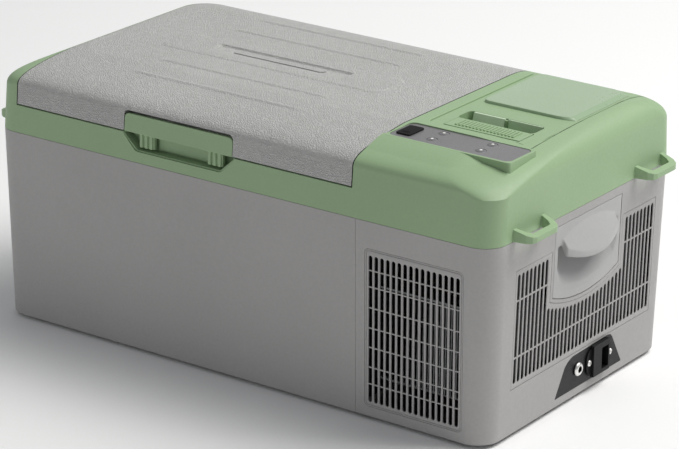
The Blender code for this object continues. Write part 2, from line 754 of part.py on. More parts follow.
def make_lid():
    region = box("keep", (LID_LEFT, -0.2, LID_SEAM + GAP), (LID_RIGHT, 0.2, 0.3))
    lid = keep(outer_form("lid_outer"), region)
    hollow = keep(
        outer_form("hollow", WALL), box("keep", (LID_LEFT + WALL, -0.2, 0.1), (LID_RIGHT - WALL, 0.2, 0.3))
    )
    cut(
        hollow,
        box("block", (LATCH[0] - 0.0030, -0.2, 0.1), (LATCH[1] + 0.0030, POCKET_BACK + 0.002, 0.2450)),
    )
    pocket = prism("pocket", latch_outline(0.0005, 0.0015), "Y", -0.2, POCKET_BACK)
    back_lift = box("back_lift", (-0.4, 0.150, 0.2), (0.4, 0.2, HINGE_Z + 0.0001))
    cut(lid, hollow, pocket, back_lift)
    notches = [
        knuckle("notch", KNUCKLE_CLEARANCE, c - FRAME_KNUCKLE_END - 0.0005, c - 0.0141)
        for c in HINGE_CENTRES
    ]
    notches += [
        knuckle("notch", KNUCKLE_CLEARANCE, c + 0.0141, c + FRAME_KNUCKLE_END + 0.0005)
        for c in HINGE_CENTRES
    ]
    cut(lid, *notches)
    join(
        lid,
        *[
            knuckle("ear", KNUCKLE_RADIUS, c - LID_KNUCKLE_HALF, c + LID_KNUCKLE_HALF)
            for c in HINGE_CENTRES
        ],
    )
    holes = [knuckle("pin_hole", PIN_RADIUS + 0.0003, c - 0.02, c + 0.02) for c in HINGE_CENTRES]
    pin_low, pin_high = LATCH[0] - 0.0025, LATCH[1] + 0.0025
    latch_hole = latch_rod("latch_hole", 0.0012, pin_low - 0.0002, pin_high + 0.0002)
    cut(lid, latch_hole, *holes)
    finish(lid, LID_GREY, 0.6, smooth=True)

    low, high, half = TUB
    inner = slab(
        "lid_inner", (LID_LEFT + 0.0035, -0.1405, 0.2266), (LID_RIGHT - 0.0035, 0.1495, 0.2284), 0.012
    )
    join(
        inner,
        slab("plug", (low + 0.0025, -half + 0.0025, 0.2120), (high - 0.0025, half - 0.0025, 0.2275), 0.016),
    )
    cut(
        inner,
        slab(
            "inside", (low + 0.0043, -half + 0.0043, 0.2138), (high - 0.0043, half - 0.0043, 0.24), 0.0142
        ),
    )
    finish(inner, WHITE, 0.4, smooth=True)

    room = box("keep", (LID_LEFT + 0.0038, -0.1404, 0.2288), (LID_RIGHT - 0.0038, 0.2, 0.3))
    foam = keep(outer_form("lid_foam", WALL + 0.0006), room)
    join(
        foam,
        slab(
            "fill", (low + 0.0049, -half + 0.0049, 0.2143), (high - 0.0049, half - 0.0049, 0.2300), 0.0136
        ),
    )
    finish(foam, FOAM, 0.9)

    gasket = slab(
        "lid_gasket", (low - 0.0095, -half - 0.0095, 0.2226), (high + 0.0095, half + 0.0095, 0.2263), 0.022
    )
    cut(
        gasket,
        slab("inside", (low - 0.001, -half - 0.001, 0.21), (high + 0.001, half + 0.001, 0.24), 0.0175),
    )
    finish(gasket, DARK, 0.8)

    pin = finish(latch_rod("latch_pin", 0.0009, pin_low, pin_high), STEEL, 0.3, 1.0, smooth=True)

    spring_line = [
        (-0.1449, 0.2240), (-0.1496, 0.2275), (-0.1496, 0.2290), (-0.1440, 0.2335), (-0.1434, 0.2335),
        (-0.1434, 0.2330), (-0.1486, 0.2290), (-0.1486, 0.2278), (-0.1444, 0.2245),
    ]
    spring = prism("latch_spring", spring_line, "X", -0.0700, -0.0520)
    finish(spring, STEEL, 0.3, 1.0)
    for c, name in zip(HINGE_CENTRES, ("hinge_pin_left", "hinge_pin_right")):
        finish(knuckle(name, PIN_RADIUS, c - 0.0295, c + 0.0295), STEEL, 0.3, 1.0, smooth=True)

    pieces = [lid, inner, foam, gasket, pin, spring]
    hang(pieces, "lid_axis", ((LID_LEFT + LID_RIGHT) / 2, HINGE_Y, HINGE_Z))


def make_latch():
    region = prism("region", latch_outline(0, 0), "Y", -0.2, -0.14)
    keep(region, box("above_seam", (-0.2, -0.3, LID_SEAM + 0.0004), (0.1, 0, 0.3)))
    flap = skin("latch_flap", 0.0028, region)
    barrel = latch_rod("barrel", LATCH_KNUCKLE, LATCH[0] + 0.0004, LATCH[1] - 0.0004, 20)
    legs = []
    for low, high in LEGS:
        legs.append(box("leg", (low, -0.1556, 0.2080), (high, -0.1510, 0.2300)))
        for rib in range(3):
            middle = low + (high - low) * (rib + 0.5) / 3
            legs.append(box("rib", (middle - 0.0012, -0.1568, 0.2085), (middle + 0.0012, -0.1550, 0.2240)))
    join(flap, barrel, *legs)
    cut(flap, latch_rod("hole", 0.0012, -0.14, 0.02))
    finish(flap, GREEN, 0.5, smooth=True)
    hang([flap], "latch_axis", ((LATCH[0] + LATCH[1]) / 2, LATCH_Y, LATCH_Z))


# ------------------------------------------------ controls and connectors


def make_controls():
    low_x, high_x, low_y, high_y = PANEL
    usb_low, usb_high, usb_front, usb_back = USB_MOUTH
    panel = slab(
        "control_panel", (low_x, low_y, PANEL_TOP - 0.0013), (high_x, high_y, PANEL_TOP), PANEL_RADIUS
    )
    holes = [cylinder("hole", 0.0053, (x, y, 0.25), (x, y, 0.27), 20) for x, y in BUTTONS.values()]
    cut(panel, box("usb", (usb_low, usb_front, 0.25), (usb_high, usb_back, 0.27)), *holes)
    finish(panel, PANEL_GREY, 0.4, smooth=True)

    for name, (x, y) in BUTTONS.items():
        profile = [
            (0, 0.0009),
            (0.0020, 0.0007),
            (0.0038, 0.0001),
            (BUTTON_RADIUS, -0.0012),
            (BUTTON_RADIUS, -0.0060),
            (0, -0.0060),
        ]
        button = turned(name, profile, (x, y, PANEL_TOP), 20)
        finish(button, PANEL_GREY, 0.3, smooth=True)
        hang([button], name + "_slide", (x, y, PANEL_TOP))

    board = box("display_board", (0.1600, -0.1060, 0.2450), (0.2450, -0.0700, 0.2466))
    finish(board, (0.03, 0.18, 0.08), 0.5)

    port_low = (usb_low + 0.0004, usb_front + 0.0004, 0.2450)
    port = box("usb_port", port_low, (usb_high - 0.0004, usb_back - 0.0004, PANEL_TOP - 0.0004))
    mouth_low = (usb_low + 0.0028, usb_front + 0.0030, 0.2480)
    cut(port, box("mouth", mouth_low, (usb_high - 0.0028, usb_back - 0.0030, 0.27)))
    finish(port, BLACK, 0.4)

    cover_low = (usb_low - 0.0022, usb_front - 0.0028, PANEL_TOP + GAP)
    cover_high = (usb_high + 0.0022, usb_back + 0.0028, PANEL_TOP + 0.0015)
    cover = finish(slab("usb_cover", cover_low, cover_high, 0.0025, 2), BLACK, 0.7, smooth=True)
    hang([cover], "usb_cover_axis", ((usb_low + usb_high) / 2, usb_back + 0.0026, PANEL_TOP + 0.0008))

    low_x, high_x, low_y, high_y = FLAP
    flap = box(
        "phone_flap", (low_x + 0.0004, low_y + 0.0004, 0.2561), (high_x - 0.0004, high_y - 0.0012, 0.2582)
    )
    ribs = []
    for number in range(FLAP_RIBS):
        x = 0.1740 + number * 0.0053
        ribs.append(box("rib", (x - 0.0012, low_y + 0.0045, 0.2575), (x + 0.0012, high_y - 0.0050, 0.2588)))
    join(flap, *ribs, flap_rod("pivot", 0.0010, 0.0016))
    finish(flap, GREEN, 0.5)
    hang([flap], "phone_flap_axis", ((low_x + high_x) / 2, *FLAP_PIVOT))


def inlet_outline(grow):
    """A trapezium with its upper corners taken off, as (y, z)."""
    g = grow
    return [
        (-0.0392 - g, 0.0120 - g),
        (0.0792 + g, 0.0120 - g),
        (0.0600 + g, 0.0428),
        (0.0568 + g, 0.0460),
        (0.0520, 0.0468 + g),
        (-0.0110, 0.0456 + g),
        (-0.0183 - g, 0.0430 + g),
        (-0.0240 - g, 0.0390),
    ]


def inlet_holes():
    """The holes behind the jack and the socket, through the plate and the cover."""
    jack = cylinder("jack", 0.0062, (0.26, *JACK), (0.29, *JACK))
    return [jack, box("socket", (0.26, 0.0322, 0.0162), (0.29, 0.0498, 0.0432))]


def make_inlet():
    plate = skin("inlet_plate", 0.0012, prism("region", inlet_outline(0), "X", 0.26, 0.30))
    finish(cut(plate, *inlet_holes()), DARK, 0.5)

    face = 0.2823
    nut = cylinder("jack_nut", 0.0072, (face, *JACK), (face + 0.0022, *JACK))
    cut(nut, cylinder("hole", 0.0047, (0.27, *JACK), (0.30, *JACK)))
    finish(nut, STEEL, 0.25, 1.0, smooth=True)
    body = cylinder("jack_body", 0.0044, (0.2660, *JACK), (face + 0.0026, *JACK))
    cut(body, cylinder("hole", 0.0030, (0.2700, *JACK), (0.30, *JACK)))
    finish(body, BLACK, 0.5, smooth=True)

    flange = slab("dc_socket", (-0.0225, -0.0130, 0), (0.0225, 0.0130, 0.0012), 0.009)
    flange.data.transform(Matrix(((0, 0, 1, face), (1, 0, 0, 0.0350), (0, 1, 0, 0.0303), (0, 0, 0, 1))))
    join(
        flange,
        box("block", (face, 0.0205, 0.0152), (face + 0.0040, 0.0495, 0.0462)),
        box("rear", (0.2680, 0.0326, 0.0166), (face + 0.0005, 0.0494, 0.0428)),
    )
    cut(flange, box("mouth", (0.2710, 0.0352, 0.0192), (0.31, 0.0468, 0.0402)))
    screws = ((0.0165, "socket_screw_front"), (0.0535, "socket_screw_back"))
    for y, name in screws:
        cut(flange, cylinder("screw_hole", 0.0016, (0.27, y, 0.0303), (0.30, y, 0.0303), 12))
        start = face + 0.0014
        screw = cylinder(name, 0.0029, (start, y, 0.0303), (start + 0.0012, y, 0.0303), 20)
        join(screw, cylinder("stem", 0.0013, (face + 0.0001, y, 0.0303), (start + 0.0004, y, 0.0303), 12))
        finish(screw, STEEL, 0.25, 1.0, smooth=True)
    finish(flange, BLACK, 0.4)
    for number, height in enumerate((0.0245, 0.0350), 1):
        pin = box(f"dc_pin_{number}", (0.2713, 0.0388, height - 0.0010), (0.2790, 0.0432, height + 0.0010))
        finish(pin, STEEL, 0.25, 1.0)


# --------------------------------------------------------- cooling system


def make_cooling():
    cx, cy = COMPRESSOR_CENTRE
    shell = [(0, 0.108), (0.018, 0.107), (0.034, 0.101), (0.043, 0.088), (0.044, 0.062), (0.0475, 0.060),
             (0.0475, 0.056), (0.044, 0.054), (0.043, 0.020), (0.034, 0.006), (0.018, 0.001), (0, 0)]
    finish(turned("compressor", shell, (cx, cy, 0.0190), 28), BLACK, 0.4, 0.3, smooth=True)
    mount = slab(
        "compressor_mount", (cx - 0.055, cy - 0.055, 0.0160), (cx + 0.055, cy + 0.055, 0.0185), 0.015
    )
    finish(mount, STEEL, 0.4, 0.9)
    for number, angle in enumerate((90, 210, 330), 1):
        x = cx + 0.046 * math.cos(math.radians(angle))
        y = cy + 0.046 * math.sin(math.radians(angle))
        profile = [(0, 0.0084), (0.0070, 0.0084), (0.0055, 0.0042), (0.0075, 0), (0, 0)]
        finish(turned(f"mount_grommet_{number}", profile, (x, y, 0.0073), 16), BLACK, 0.8, smooth=True)

    fx, fz = FAN_CENTRE
    fins = box("condenser_fins", (fx - 0.050, -0.1480, fz - 0.045), (fx + 0.050, -0.1280, fz + 0.045))
    gaps = [
        (
            (fx - 0.0480 + 0.0060 * k, -0.1500, fz - 0.043),
            (fx - 0.0480 + 0.0060 * k + 0.0048, -0.1290, fz + 0.043),
        )
        for k in range(16)
    ]
    finish(cut(fins, joined_boxes("gaps", gaps)), ALUMINIUM, 0.3, 1.0)
    rows = [fz - 0.036 + 0.018 * k for k in range(5)]
    corners = [(fx - 0.054, -0.1248, rows[0])]
    for number, height in enumerate(rows):
        start, end = (fx - 0.044, fx + 0.044) if number % 2 == 0 else (fx + 0.044, fx - 0.044)
        corners += [(start, -0.1248, height), (end, -0.1248, height)]
    finish(
        tube("condenser_tube", rounded_route(corners[2:-1], 0.0085, 3), 0.0025),
        COPPER,
        0.35,
        1.0,
        smooth=True,
    )

    frame = slab(
        "fan_frame", (fx - 0.046, -0.1160, fz - 0.046), (fx + 0.046, -0.0920, fz + 0.046), 0.0001, 1
    )
    cut(frame, cylinder("bore", 0.0425, (fx, -0.13, fz), (fx, -0.0935, fz), 32))
    windows = []
    for quarter in range(4):
        sweep = [math.radians(90 * quarter + 12 + 66 * k / 6) for k in range(7)]
        outline = [(fx + 0.0400 * math.cos(a), fz + 0.0400 * math.sin(a)) for a in sweep]
        outline += [(fx + 0.0180 * math.cos(a), fz + 0.0180 * math.sin(a)) for a in reversed(sweep)]
        windows.append(prism("window", outline, "Y", -0.10, -0.08))
    cut(frame, *windows)
    finish(frame, BLACK, 0.5)

    rotor = cylinder("fan_rotor", 0.0170, (fx, -0.1130, fz), (fx, -0.0955, fz), 20)
    blades = []
    for number in range(7):
        blade = box("blade", (0.0150, -0.0110, -0.0009), (0.0395, 0.0110, 0.0009))
        tilt = Matrix.Rotation(math.radians(38), 4, "X")
        place = Matrix.Rotation(2 * math.pi * number / 7, 4, "Y")
        blade.data.transform(Matrix.Translation((fx, -0.1040, fz)) @ place @ tilt)
        blades.append(blade)
    join(rotor, *blades)
    finish(rotor, BLACK, 0.5)
    hang([rotor], "fan_axis", (fx, -0.1040, fz))

    drier = [
        (0, 0.0400), (0.0040, 0.0395), (0.0090, 0.0300), (0.0090, -0.0300), (0.0040, -0.0395), (0, -0.0400)
    ]
    finish(turned("filter_drier", drier, (0.166, -0.060, 0.100), 16), COPPER, 0.35, 1.0, smooth=True)
    discharge = [
        (cx + 0.020, cy, 0.1275), (cx + 0.020, cy, 0.152), (cx + 0.050, -0.070, 0.152),
        (cx + 0.058, -0.1248, 0.152), (cx + 0.058, -0.1248, rows[-1]), (fx + 0.0465, -0.1248, rows[-1]),
    ]
    finish(tube("discharge_pipe", rounded_route(discharge, 0.012), 0.0025), COPPER, 0.35, 1.0, smooth=True)
    suction = [
        (COVER_SPLIT + 0.0004, 0.120, 0.100), (0.150, 0.120, 0.100), (0.150, 0.120, 0.140),
        (cx - 0.018, cy + 0.004, 0.140), (cx - 0.018, cy + 0.004, 0.1275),
    ]
    finish(tube("suction_pipe", rounded_route(suction, 0.005, 3), 0.0035), COPPER, 0.35, 1.0, smooth=True)


def make_electronics():
    board = box("control_board", (0.1440, -0.0400, 0.1480), (0.1456, 0.0500, 0.2080))
    finish(board, (0.03, 0.18, 0.08), 0.5)
    sink = box("heat_sink", (0.1459, -0.0300, 0.1600), (0.1600, 0.0200, 0.1900))
    gaps = [
        ((0.1480, -0.0270 + 0.0060 * k, 0.15), (0.17, -0.0270 + 0.0060 * k + 0.0040, 0.20))
        for k in range(8)
    ]
    finish(cut(sink, joined_boxes("gaps", gaps)), ALUMINIUM, 0.4, 1.0)


start_empty()
make_body_shell()
make_machine_cover()
make_side_grille("front_grille", -1, FRONT_RIBS)
make_side_grille("back_grille", 1, BACK_RIBS)
make_end_grille()
make_handle("handle_right", 1)
make_handle("handle_left", -1)
make_base()
make_top_frame()
make_catch_plate()
make_tub()
make_lid()
make_latch()
make_controls()
make_inlet()
make_cooling()
make_electronics()
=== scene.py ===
"""Looks for the compressor cooler fridge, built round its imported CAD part."""

import json
import math

import bmesh
import bpy
from mathutils import Matrix, Vector


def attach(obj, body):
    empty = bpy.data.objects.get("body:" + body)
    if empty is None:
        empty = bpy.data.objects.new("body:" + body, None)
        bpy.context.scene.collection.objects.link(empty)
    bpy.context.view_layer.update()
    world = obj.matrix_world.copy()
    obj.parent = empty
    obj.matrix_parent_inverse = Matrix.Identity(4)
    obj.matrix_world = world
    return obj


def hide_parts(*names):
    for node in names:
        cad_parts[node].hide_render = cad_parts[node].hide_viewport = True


# The box's own dimensions, in metres, as in the CAD
LENGTH = 0.570
WIDTH = 0.320
HEIGHT = 0.260
FOOT_HEIGHT = 0.003
BODY_TOP = 0.1935
LID_SEAM = 0.2208
LID_LEFT = -0.2575
LID_RIGHT = 0.1332
LID_MIDDLE = (LID_LEFT + LID_RIGHT) / 2
COVER_SPLIT = 0.140
WALL = 0.003

# Gaps: between pieces that touch, and round the lid
GAP = 0.0003
SEAM = 0.0011

# Outer form: corner radii, draft, and how each side leans or rounds in over the shoulder
CORNER_RADIUS = 0.0235
CORNER_GROWTH = 0.0065
SOFT_CORNER_GROWTH = (0.055, 0.120)
CORNER_STEPS = 14
DRAFT = 0.004
BOTTOM_ROUND = 0.0015
SHOULDER_START = 0.237
SHOULDER_STEPS = 22
FRONT_SLOPE = (0.0036, 0.080, 3.45)
LEFT_SLOPE = (0.0006, 0.032, 2)
BACK_ROUND = (0.0020, 0.052)
RIGHT_ROUND = (0.0006, 0.024)

# Cutters and kept regions reach this far out, and those of the right end have this span in x
FAR_X = 0.4
FAR_Y = 0.2
FAR_Z = 0.3
END_SPAN = (0.26, 0.30)

# Tub: left, right, front and back
TUB = (-0.2355, 0.0985, -0.1225, 0.1225)
TUB_FLOOR = 0.0315
TUB_WALL = 0.0015
TUB_RADIUS = 0.0185
DECK_TOP = 0.2205
DECK_UNDER = 0.2175

# Lid hinges
HINGE_Y = 0.1555
HINGE_Z = 0.2225
HINGE_CENTRES = (-0.181, 0.059)
KNUCKLE_RADIUS = 0.0043
KNUCKLE_CLEARANCE = 0.0048
LID_KNUCKLE_END = 0.014
FRAME_KNUCKLE_END = 0.030

# The lid's raised ribs, each as its distance from the middle and half its length
LID_RIBS = ((-0.101, 0.104), (-0.061, 0.102), (0.061, 0.106), (0.101, 0.104))
LID_PATTERN_Y = 0.003
PATTERN_FROM = 0.245
LID_COLUMNS = 270
LID_ROWS = 140

# Latch and its finger recess: left and right, then the latch's knuckle and legs
LATCH = (-0.1264, -0.0003)
RECESS = (-0.1264, 0.0018)
LATCH_TOP = 0.2392
LATCH_Y = -0.1539
LATCH_Z = 0.2355
LATCH_KNUCKLE = 0.0023
POCKET_BACK = -0.143
LEGS = ((-0.1100, -0.0925), (-0.0300, -0.0125))

# Strap eyes and the right end's handle and jack
LOOP_Y = 0.105
LOOP_END = 0.304
END_MIDDLE = 0.0045
HANDLE_HALF = 0.058
GRIP_HALF = 0.045
JACK = (-0.0017, 0.0305)

# Grilles: left, right, bottom and top, then their slots and the heights of their cross ribs
FRONT_GRILLE = (0.150, 0.256, 0.0135, 0.168)
FRONT_COLUMNS = 16
FRONT_PITCH = 0.00623
FRONT_RIBS = (0.0360, 0.0525, 0.0720, 0.0910, 0.1107, 0.1310, 0.1470)
FRONT_SLOTS = (0.0182, 0.1615)
BACK_RIBS = (0.0525, 0.0910, 0.1310)
SLOT_WIDTH = 0.0042
END_COLUMNS = 36
END_PITCH = 0.00666
END_SLOT_WIDTH = 0.0043
END_SLOT_BOTTOM = 0.0530
END_RIBS = (0.0780, 0.1333)
END_NOTCH_HALF = 0.066

# Housing: left, right, front and back of each thing on it
BUTTONS = {
    "button_power": (0.1785, -0.0775),
    "button_set": (0.1785, -0.0970),
    "button_minus": (0.2305, -0.0775),
    "button_plus": (0.2305, -0.0970),
}
PANEL = (0.1385, 0.2675, -0.1090, -0.0690)
PANEL_TOP = 0.2590
PANEL_RADIUS = 0.006
APRON_TOP = 0.2592
APRON_REACH = 0.040
USB_MOUTH = (0.1445, 0.1560, -0.1000, -0.0805)
TRAY_FLOOR = 0.2586
PAD_TOP = 0.2612
FLAP = (0.1620, 0.2435, -0.0550, -0.0290)
FLAP_PIVOT = (-0.0527, 0.2571)
SLOT = (0.1603, 0.2420, -0.0300, -0.0055)
SLOT_FLOOR = 0.2155

# How far a material rounds the look of its edges, and how much it wears them
SOFT_EDGE = 0.0005
EDGE_WEAR = 0.12

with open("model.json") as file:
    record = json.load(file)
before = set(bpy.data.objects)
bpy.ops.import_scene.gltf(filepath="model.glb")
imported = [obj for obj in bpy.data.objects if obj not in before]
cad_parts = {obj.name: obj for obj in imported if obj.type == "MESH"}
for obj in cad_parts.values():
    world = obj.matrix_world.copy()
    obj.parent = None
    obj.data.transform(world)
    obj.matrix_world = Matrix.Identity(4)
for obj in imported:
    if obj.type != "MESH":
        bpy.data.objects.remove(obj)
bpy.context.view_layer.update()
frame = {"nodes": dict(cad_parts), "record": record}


# ---------------------------------------------------------------- meshes


def new_object(name, mesh):
    made = bpy.data.objects.new(name, mesh)
    bpy.context.scene.collection.objects.link(made)
    return made


def from_bmesh(name, bm):
    bmesh.ops.recalc_face_normals(bm, faces=bm.faces)
    mesh = bpy.data.meshes.new(name)
    bm.to_mesh(mesh)
    bm.free()
    return new_object(name, mesh)


def slab(name, low, high, radius=0.0, steps=8, edge=0.0, under=0.0, lean=(0, 0, 0, 0)):
    """A box with rounded upright, top and bottom edges. lean moves its top's four sides in."""
    bm = bmesh.new()
    bmesh.ops.create_cube(bm, size=1)
    bmesh.ops.scale(bm, vec=Vector(high) - Vector(low), verts=bm.verts)
    bmesh.ops.translate(bm, vec=(Vector(high) + Vector(low)) / 2, verts=bm.verts)
    middle = (Vector(high) + Vector(low)) / 2
    for v in bm.verts:
        if v.co.z > middle.z:
            v.co.x += lean[0] if v.co.x < middle.x else -lean[1]
            v.co.y += lean[2] if v.co.y < middle.y else -lean[3]
    if radius:
        upright = [e for e in bm.edges if abs(e.verts[0].co.z - e.verts[1].co.z) > 1e-6]
        bmesh.ops.bevel(bm, geom=upright, offset=radius, segments=steps, profile=0.5, affect="EDGES")
    for size, level in ((edge, high[2]), (under, low[2])):
        if size:
            rim = [e for e in bm.edges if all(abs(v.co.z - level) < 1e-6 for v in e.verts)]
            bmesh.ops.bevel(bm, geom=rim, offset=size, segments=4, profile=0.5, affect="EDGES")
    return from_bmesh(name, bm)


def plan_slab(name, plan, grow, low_z, high_z, *shape):
    """A slab over a plan of left, right, front and back, with each side moved out by grow."""
    left, right, front, back = plan
    return slab(name, (left - grow, front - grow, low_z), (right + grow, back + grow, high_z), *shape)


def cross_slab(name, low_x, high_x, low_z, high_z):
    """A box that runs out past the object's front and back."""
    return slab(name, (low_x, -FAR_Y, low_z), (high_x, FAR_Y, high_z))


def cylinder(name, radius, start, end, segments=32):
    bm = bmesh.new()
    start = Vector(start)
    axis = Vector(end) - start
    turn = axis.to_track_quat("Z", "Y").to_matrix().to_4x4()
    place = Matrix.Translation(start + axis / 2) @ turn
    bmesh.ops.create_cone(
        bm, cap_ends=True, segments=segments, radius1=radius, radius2=radius, depth=axis.length, matrix=place
    )
    return from_bmesh(name, bm)


AXIS_TURN = {
    "X": Matrix(((0, 0, 1), (1, 0, 0), (0, 1, 0))),
    "Y": Matrix(((1, 0, 0), (0, 0, -1), (0, 1, 0))),
    "Z": Matrix.Identity(3),
}


def loft(name, rings):
    """Skins rings of equal length, in order, and closes both ends."""
    bm = bmesh.new()
    made = [[bm.verts.new(p) for p in ring] for ring in rings]
    for here, after in zip(made, made[1:]):
        for k in range(len(here)):
            bm.faces.new((here[k], here[k - 1], after[k - 1], after[k]))
    bm.faces.new(made[0])
    bm.faces.new(list(reversed(made[-1])))
    return from_bmesh(name, bm)


def prism(name, outline, axis, low, high):
    """A flat outline extruded along an axis. The outline is (y, z) for X, (x, z) for Y and (x, y) for Z."""
    level = {"X": lambda p, d: (d, *p), "Y": lambda p, d: (p[0], d, p[1]), "Z": lambda p, d: (*p, d)}[axis]
    return loft(name, [[level(p, low) for p in outline], [level(p, high) for p in outline]])


def turned(name, profile, place, axis="Z", steps=48):
    """A profile of (radius, height) turned about an axis through place."""
    rings = []
    for radius, height in profile:
        ring = []
        for step in range(steps):
            angle = 2 * math.pi * step / steps
            point = AXIS_TURN[axis] @ Vector((radius * math.cos(angle), radius * math.sin(angle), height))
            ring.append(Vector(place) + point)
        rings.append(ring)
    return loft(name, rings)


def settle(thing):
    bpy.context.view_layer.update()
    graph = bpy.context.evaluated_depsgraph_get()
    mesh = bpy.data.meshes.new_from_object(thing.evaluated_get(graph))
    thing.modifiers.clear()
    thing.data = mesh
    return thing


def boolean(target, operation, tools):
    for tool in tools:
        step = target.modifiers.new(operation.title(), "BOOLEAN")
        step.operation = operation
        step.object = tool
        settle(target)
        bpy.data.objects.remove(tool)
    return target


def cut(target, *tools):
    return boolean(target, "DIFFERENCE", tools)


def join(target, *tools):
    return boolean(target, "UNION", tools)


def keep(target, *tools):
    return boolean(target, "INTERSECT", tools)


def merge(target, *others):
    """Puts other meshes into the same object, as shells that pass into each other."""
    bm = bmesh.new()
    for thing in (target, *others):
        bm.from_mesh(thing.data)
    bm.to_mesh(target.data)
    bm.free()
    for thing in others:
        bpy.data.objects.remove(thing)
    return target


def soften(thing, voxel, rounds):
    """Rebuilds a mesh in small voxels and smooths it, so that all its edges become soft."""
    grid = thing.modifiers.new("Grid", "REMESH")
    grid.mode = "VOXEL"
    grid.voxel_size = voxel
    smooth = thing.modifiers.new("Smooth", "SMOOTH")
    smooth.factor = 0.5
    smooth.iterations = rounds
    settle(thing)
    thing.data.shade_smooth()
    return thing


def shade(thing, angle=32):
    thing.data.shade_smooth()
    thing.data.set_sharp_from_angle(angle=math.radians(angle))
    normals = thing.modifiers.new("Weighted", "WEIGHTED_NORMAL")
    normals.keep_sharp = True
    return thing


# ------------------------------------------------------------- materials


def add(tree, kind, values=None, **settings):
    node = tree.nodes.new("ShaderNode" + kind)
    for key, value in settings.items():
        setattr(node, key, value)
    for key, value in (values or {}).items():
        if isinstance(value, bpy.types.NodeSocket):
            tree.links.new(value, node.inputs[key])
        else:
            node.inputs[key].default_value = value
    return node


def tint(colour, factor):
    return (*[min(1, c * factor) for c in colour], 1)


SURFACES = {}


def surface(
    name,
    colour,
    roughness,
    metallic=0.0,
    cell=0.0011,
    depth=0.00006,
    mottle=0.05,
    stretch=(1, 1, 1),
    coat=0.0,
    glow=0.0,
    shine=0.5,
):
    """Moulded or drawn material: grain, cloudy colour, uneven gloss and lighter worn edges."""
    material = bpy.data.materials.new(name)
    material.use_nodes = True
    tree = material.node_tree
    shader = tree.nodes["Principled BSDF"]
    place = add(tree, "TexCoord").outputs["Object"]
    place = add(tree, "Mapping", {"Vector": place, "Scale": stretch}).outputs["Vector"]
    clouds = add(tree, "TexNoise", {"Vector": place, "Scale": 7.0, "Detail": 4.0}).outputs["Fac"]
    fine = add(tree, "TexNoise", {"Vector": place, "Scale": 0.35 / cell, "Detail": 5.0}).outputs["Fac"]
    cells = add(
        tree, "TexVoronoi", {"Vector": place, "Scale": 1 / cell}, feature="DISTANCE_TO_EDGE"
    ).outputs["Distance"]
    plump = add(tree, "MapRange", {"Value": cells, "From Max": 0.28}, interpolation_type="SMOOTHSTEP")
    grain = add(tree, "Math", {0: plump.outputs["Result"], 1: fine}, operation="ADD").outputs[0]

    both = add(tree, "Math", {0: clouds, 1: fine}, operation="ADD").outputs[0]
    share = add(tree, "MapRange", {"Value": both, "From Min": 0.75, "From Max": 1.25}).outputs["Result"]
    base = add(
        tree,
        "Mix",
        {"Factor": share, "A": tint(colour, 1 - mottle), "B": tint(colour, 1 + mottle)},
        data_type="RGBA",
    ).outputs["Result"]
    pits = add(
        tree,
        "MapRange",
        {"Value": plump.outputs["Result"], "To Min": 1 - 1.6 * mottle, "To Max": 1.0},
    ).outputs["Result"]
    base = add(tree, "VectorMath", {0: base, "Scale": pits}, operation="SCALE").outputs[0]

    rounded = add(tree, "Bevel", {"Radius": SOFT_EDGE}, samples=4).outputs["Normal"]
    flat = add(tree, "NewGeometry").outputs["Normal"]
    turn = add(tree, "VectorMath", {0: rounded, 1: flat}, operation="DOT_PRODUCT").outputs["Value"]
    edge = add(
        tree, "MapRange", {"Value": turn, "From Min": 0.99, "From Max": 0.80, "To Max": EDGE_WEAR}
    ).outputs["Result"]
    rubbed = add(tree, "Math", {0: edge, 1: fine}, operation="MULTIPLY").outputs[0]
    base = add(
        tree, "Mix", {"Factor": rubbed, "A": base, "B": tint(colour, 1.8)}, data_type="RGBA"
    ).outputs["Result"]
    tree.links.new(base, shader.inputs["Base Color"])

    gloss_range = {"From Min": 0.7, "From Max": 1.3, "To Min": roughness + 0.08, "To Max": roughness - 0.06}
    gloss = add(tree, "MapRange", {"Value": both, **gloss_range}).outputs["Result"]
    tree.links.new(gloss, shader.inputs["Roughness"])
    bump = add(
        tree, "Bump", {"Strength": 1.0, "Distance": depth, "Height": grain, "Normal": rounded}
    ).outputs["Normal"]
    tree.links.new(bump, shader.inputs["Normal"])
    shader.inputs["Metallic"].default_value = metallic
    shader.inputs["Coat Weight"].default_value = coat
    shader.inputs["Specular IOR Level"].default_value = shine
    if glow:
        shader.inputs["Emission Color"].default_value = tint(colour, 1)
        shader.inputs["Emission Strength"].default_value = glow
    SURFACES[name] = material


surface("grey_body", (0.428, 0.418, 0.412), 0.55, depth=0.00004, mottle=0.03)
# The handles take the body's grey made a little lighter: painted light on the handles.
surface("handle_grey", (0.448, 0.446, 0.444), 0.45, cell=0.0009, depth=0.00002, mottle=0.02)
surface("green_trim", (0.328, 0.470, 0.270), 0.50, cell=0.0008, depth=0.00002, mottle=0.025)
surface("lid_grey", (0.565, 0.565, 0.550), 0.58, cell=0.0021, depth=0.00055, mottle=0.06)
surface("lining_white", (0.76, 0.77, 0.76), 0.30, depth=0.00001, mottle=0.02, coat=0.2)
surface("lamp_lens", (0.86, 0.87, 0.82), 0.25, depth=0.00002, mottle=0.02, coat=0.3, glow=0.15)
surface("panel_grey", (0.180, 0.176, 0.182), 0.36, cell=0.0005, depth=0.00001, mottle=0.03)
surface("black_rubber", (0.010, 0.010, 0.010), 0.72, cell=0.0007, depth=0.00004, mottle=0.2, shine=0.25)
surface("dark_plate", (0.016, 0.016, 0.018), 0.50, cell=0.0006, depth=0.00002, mottle=0.08, shine=0.3)
surface("black_plastic", (0.008, 0.008, 0.009), 0.45, cell=0.0006, depth=0.00002, mottle=0.15, shine=0.2)
surface("bright_metal", (0.93, 0.92, 0.90), 0.34, 1.0, 0.0004, 0.000006, 0.05, (1, 1, 6))
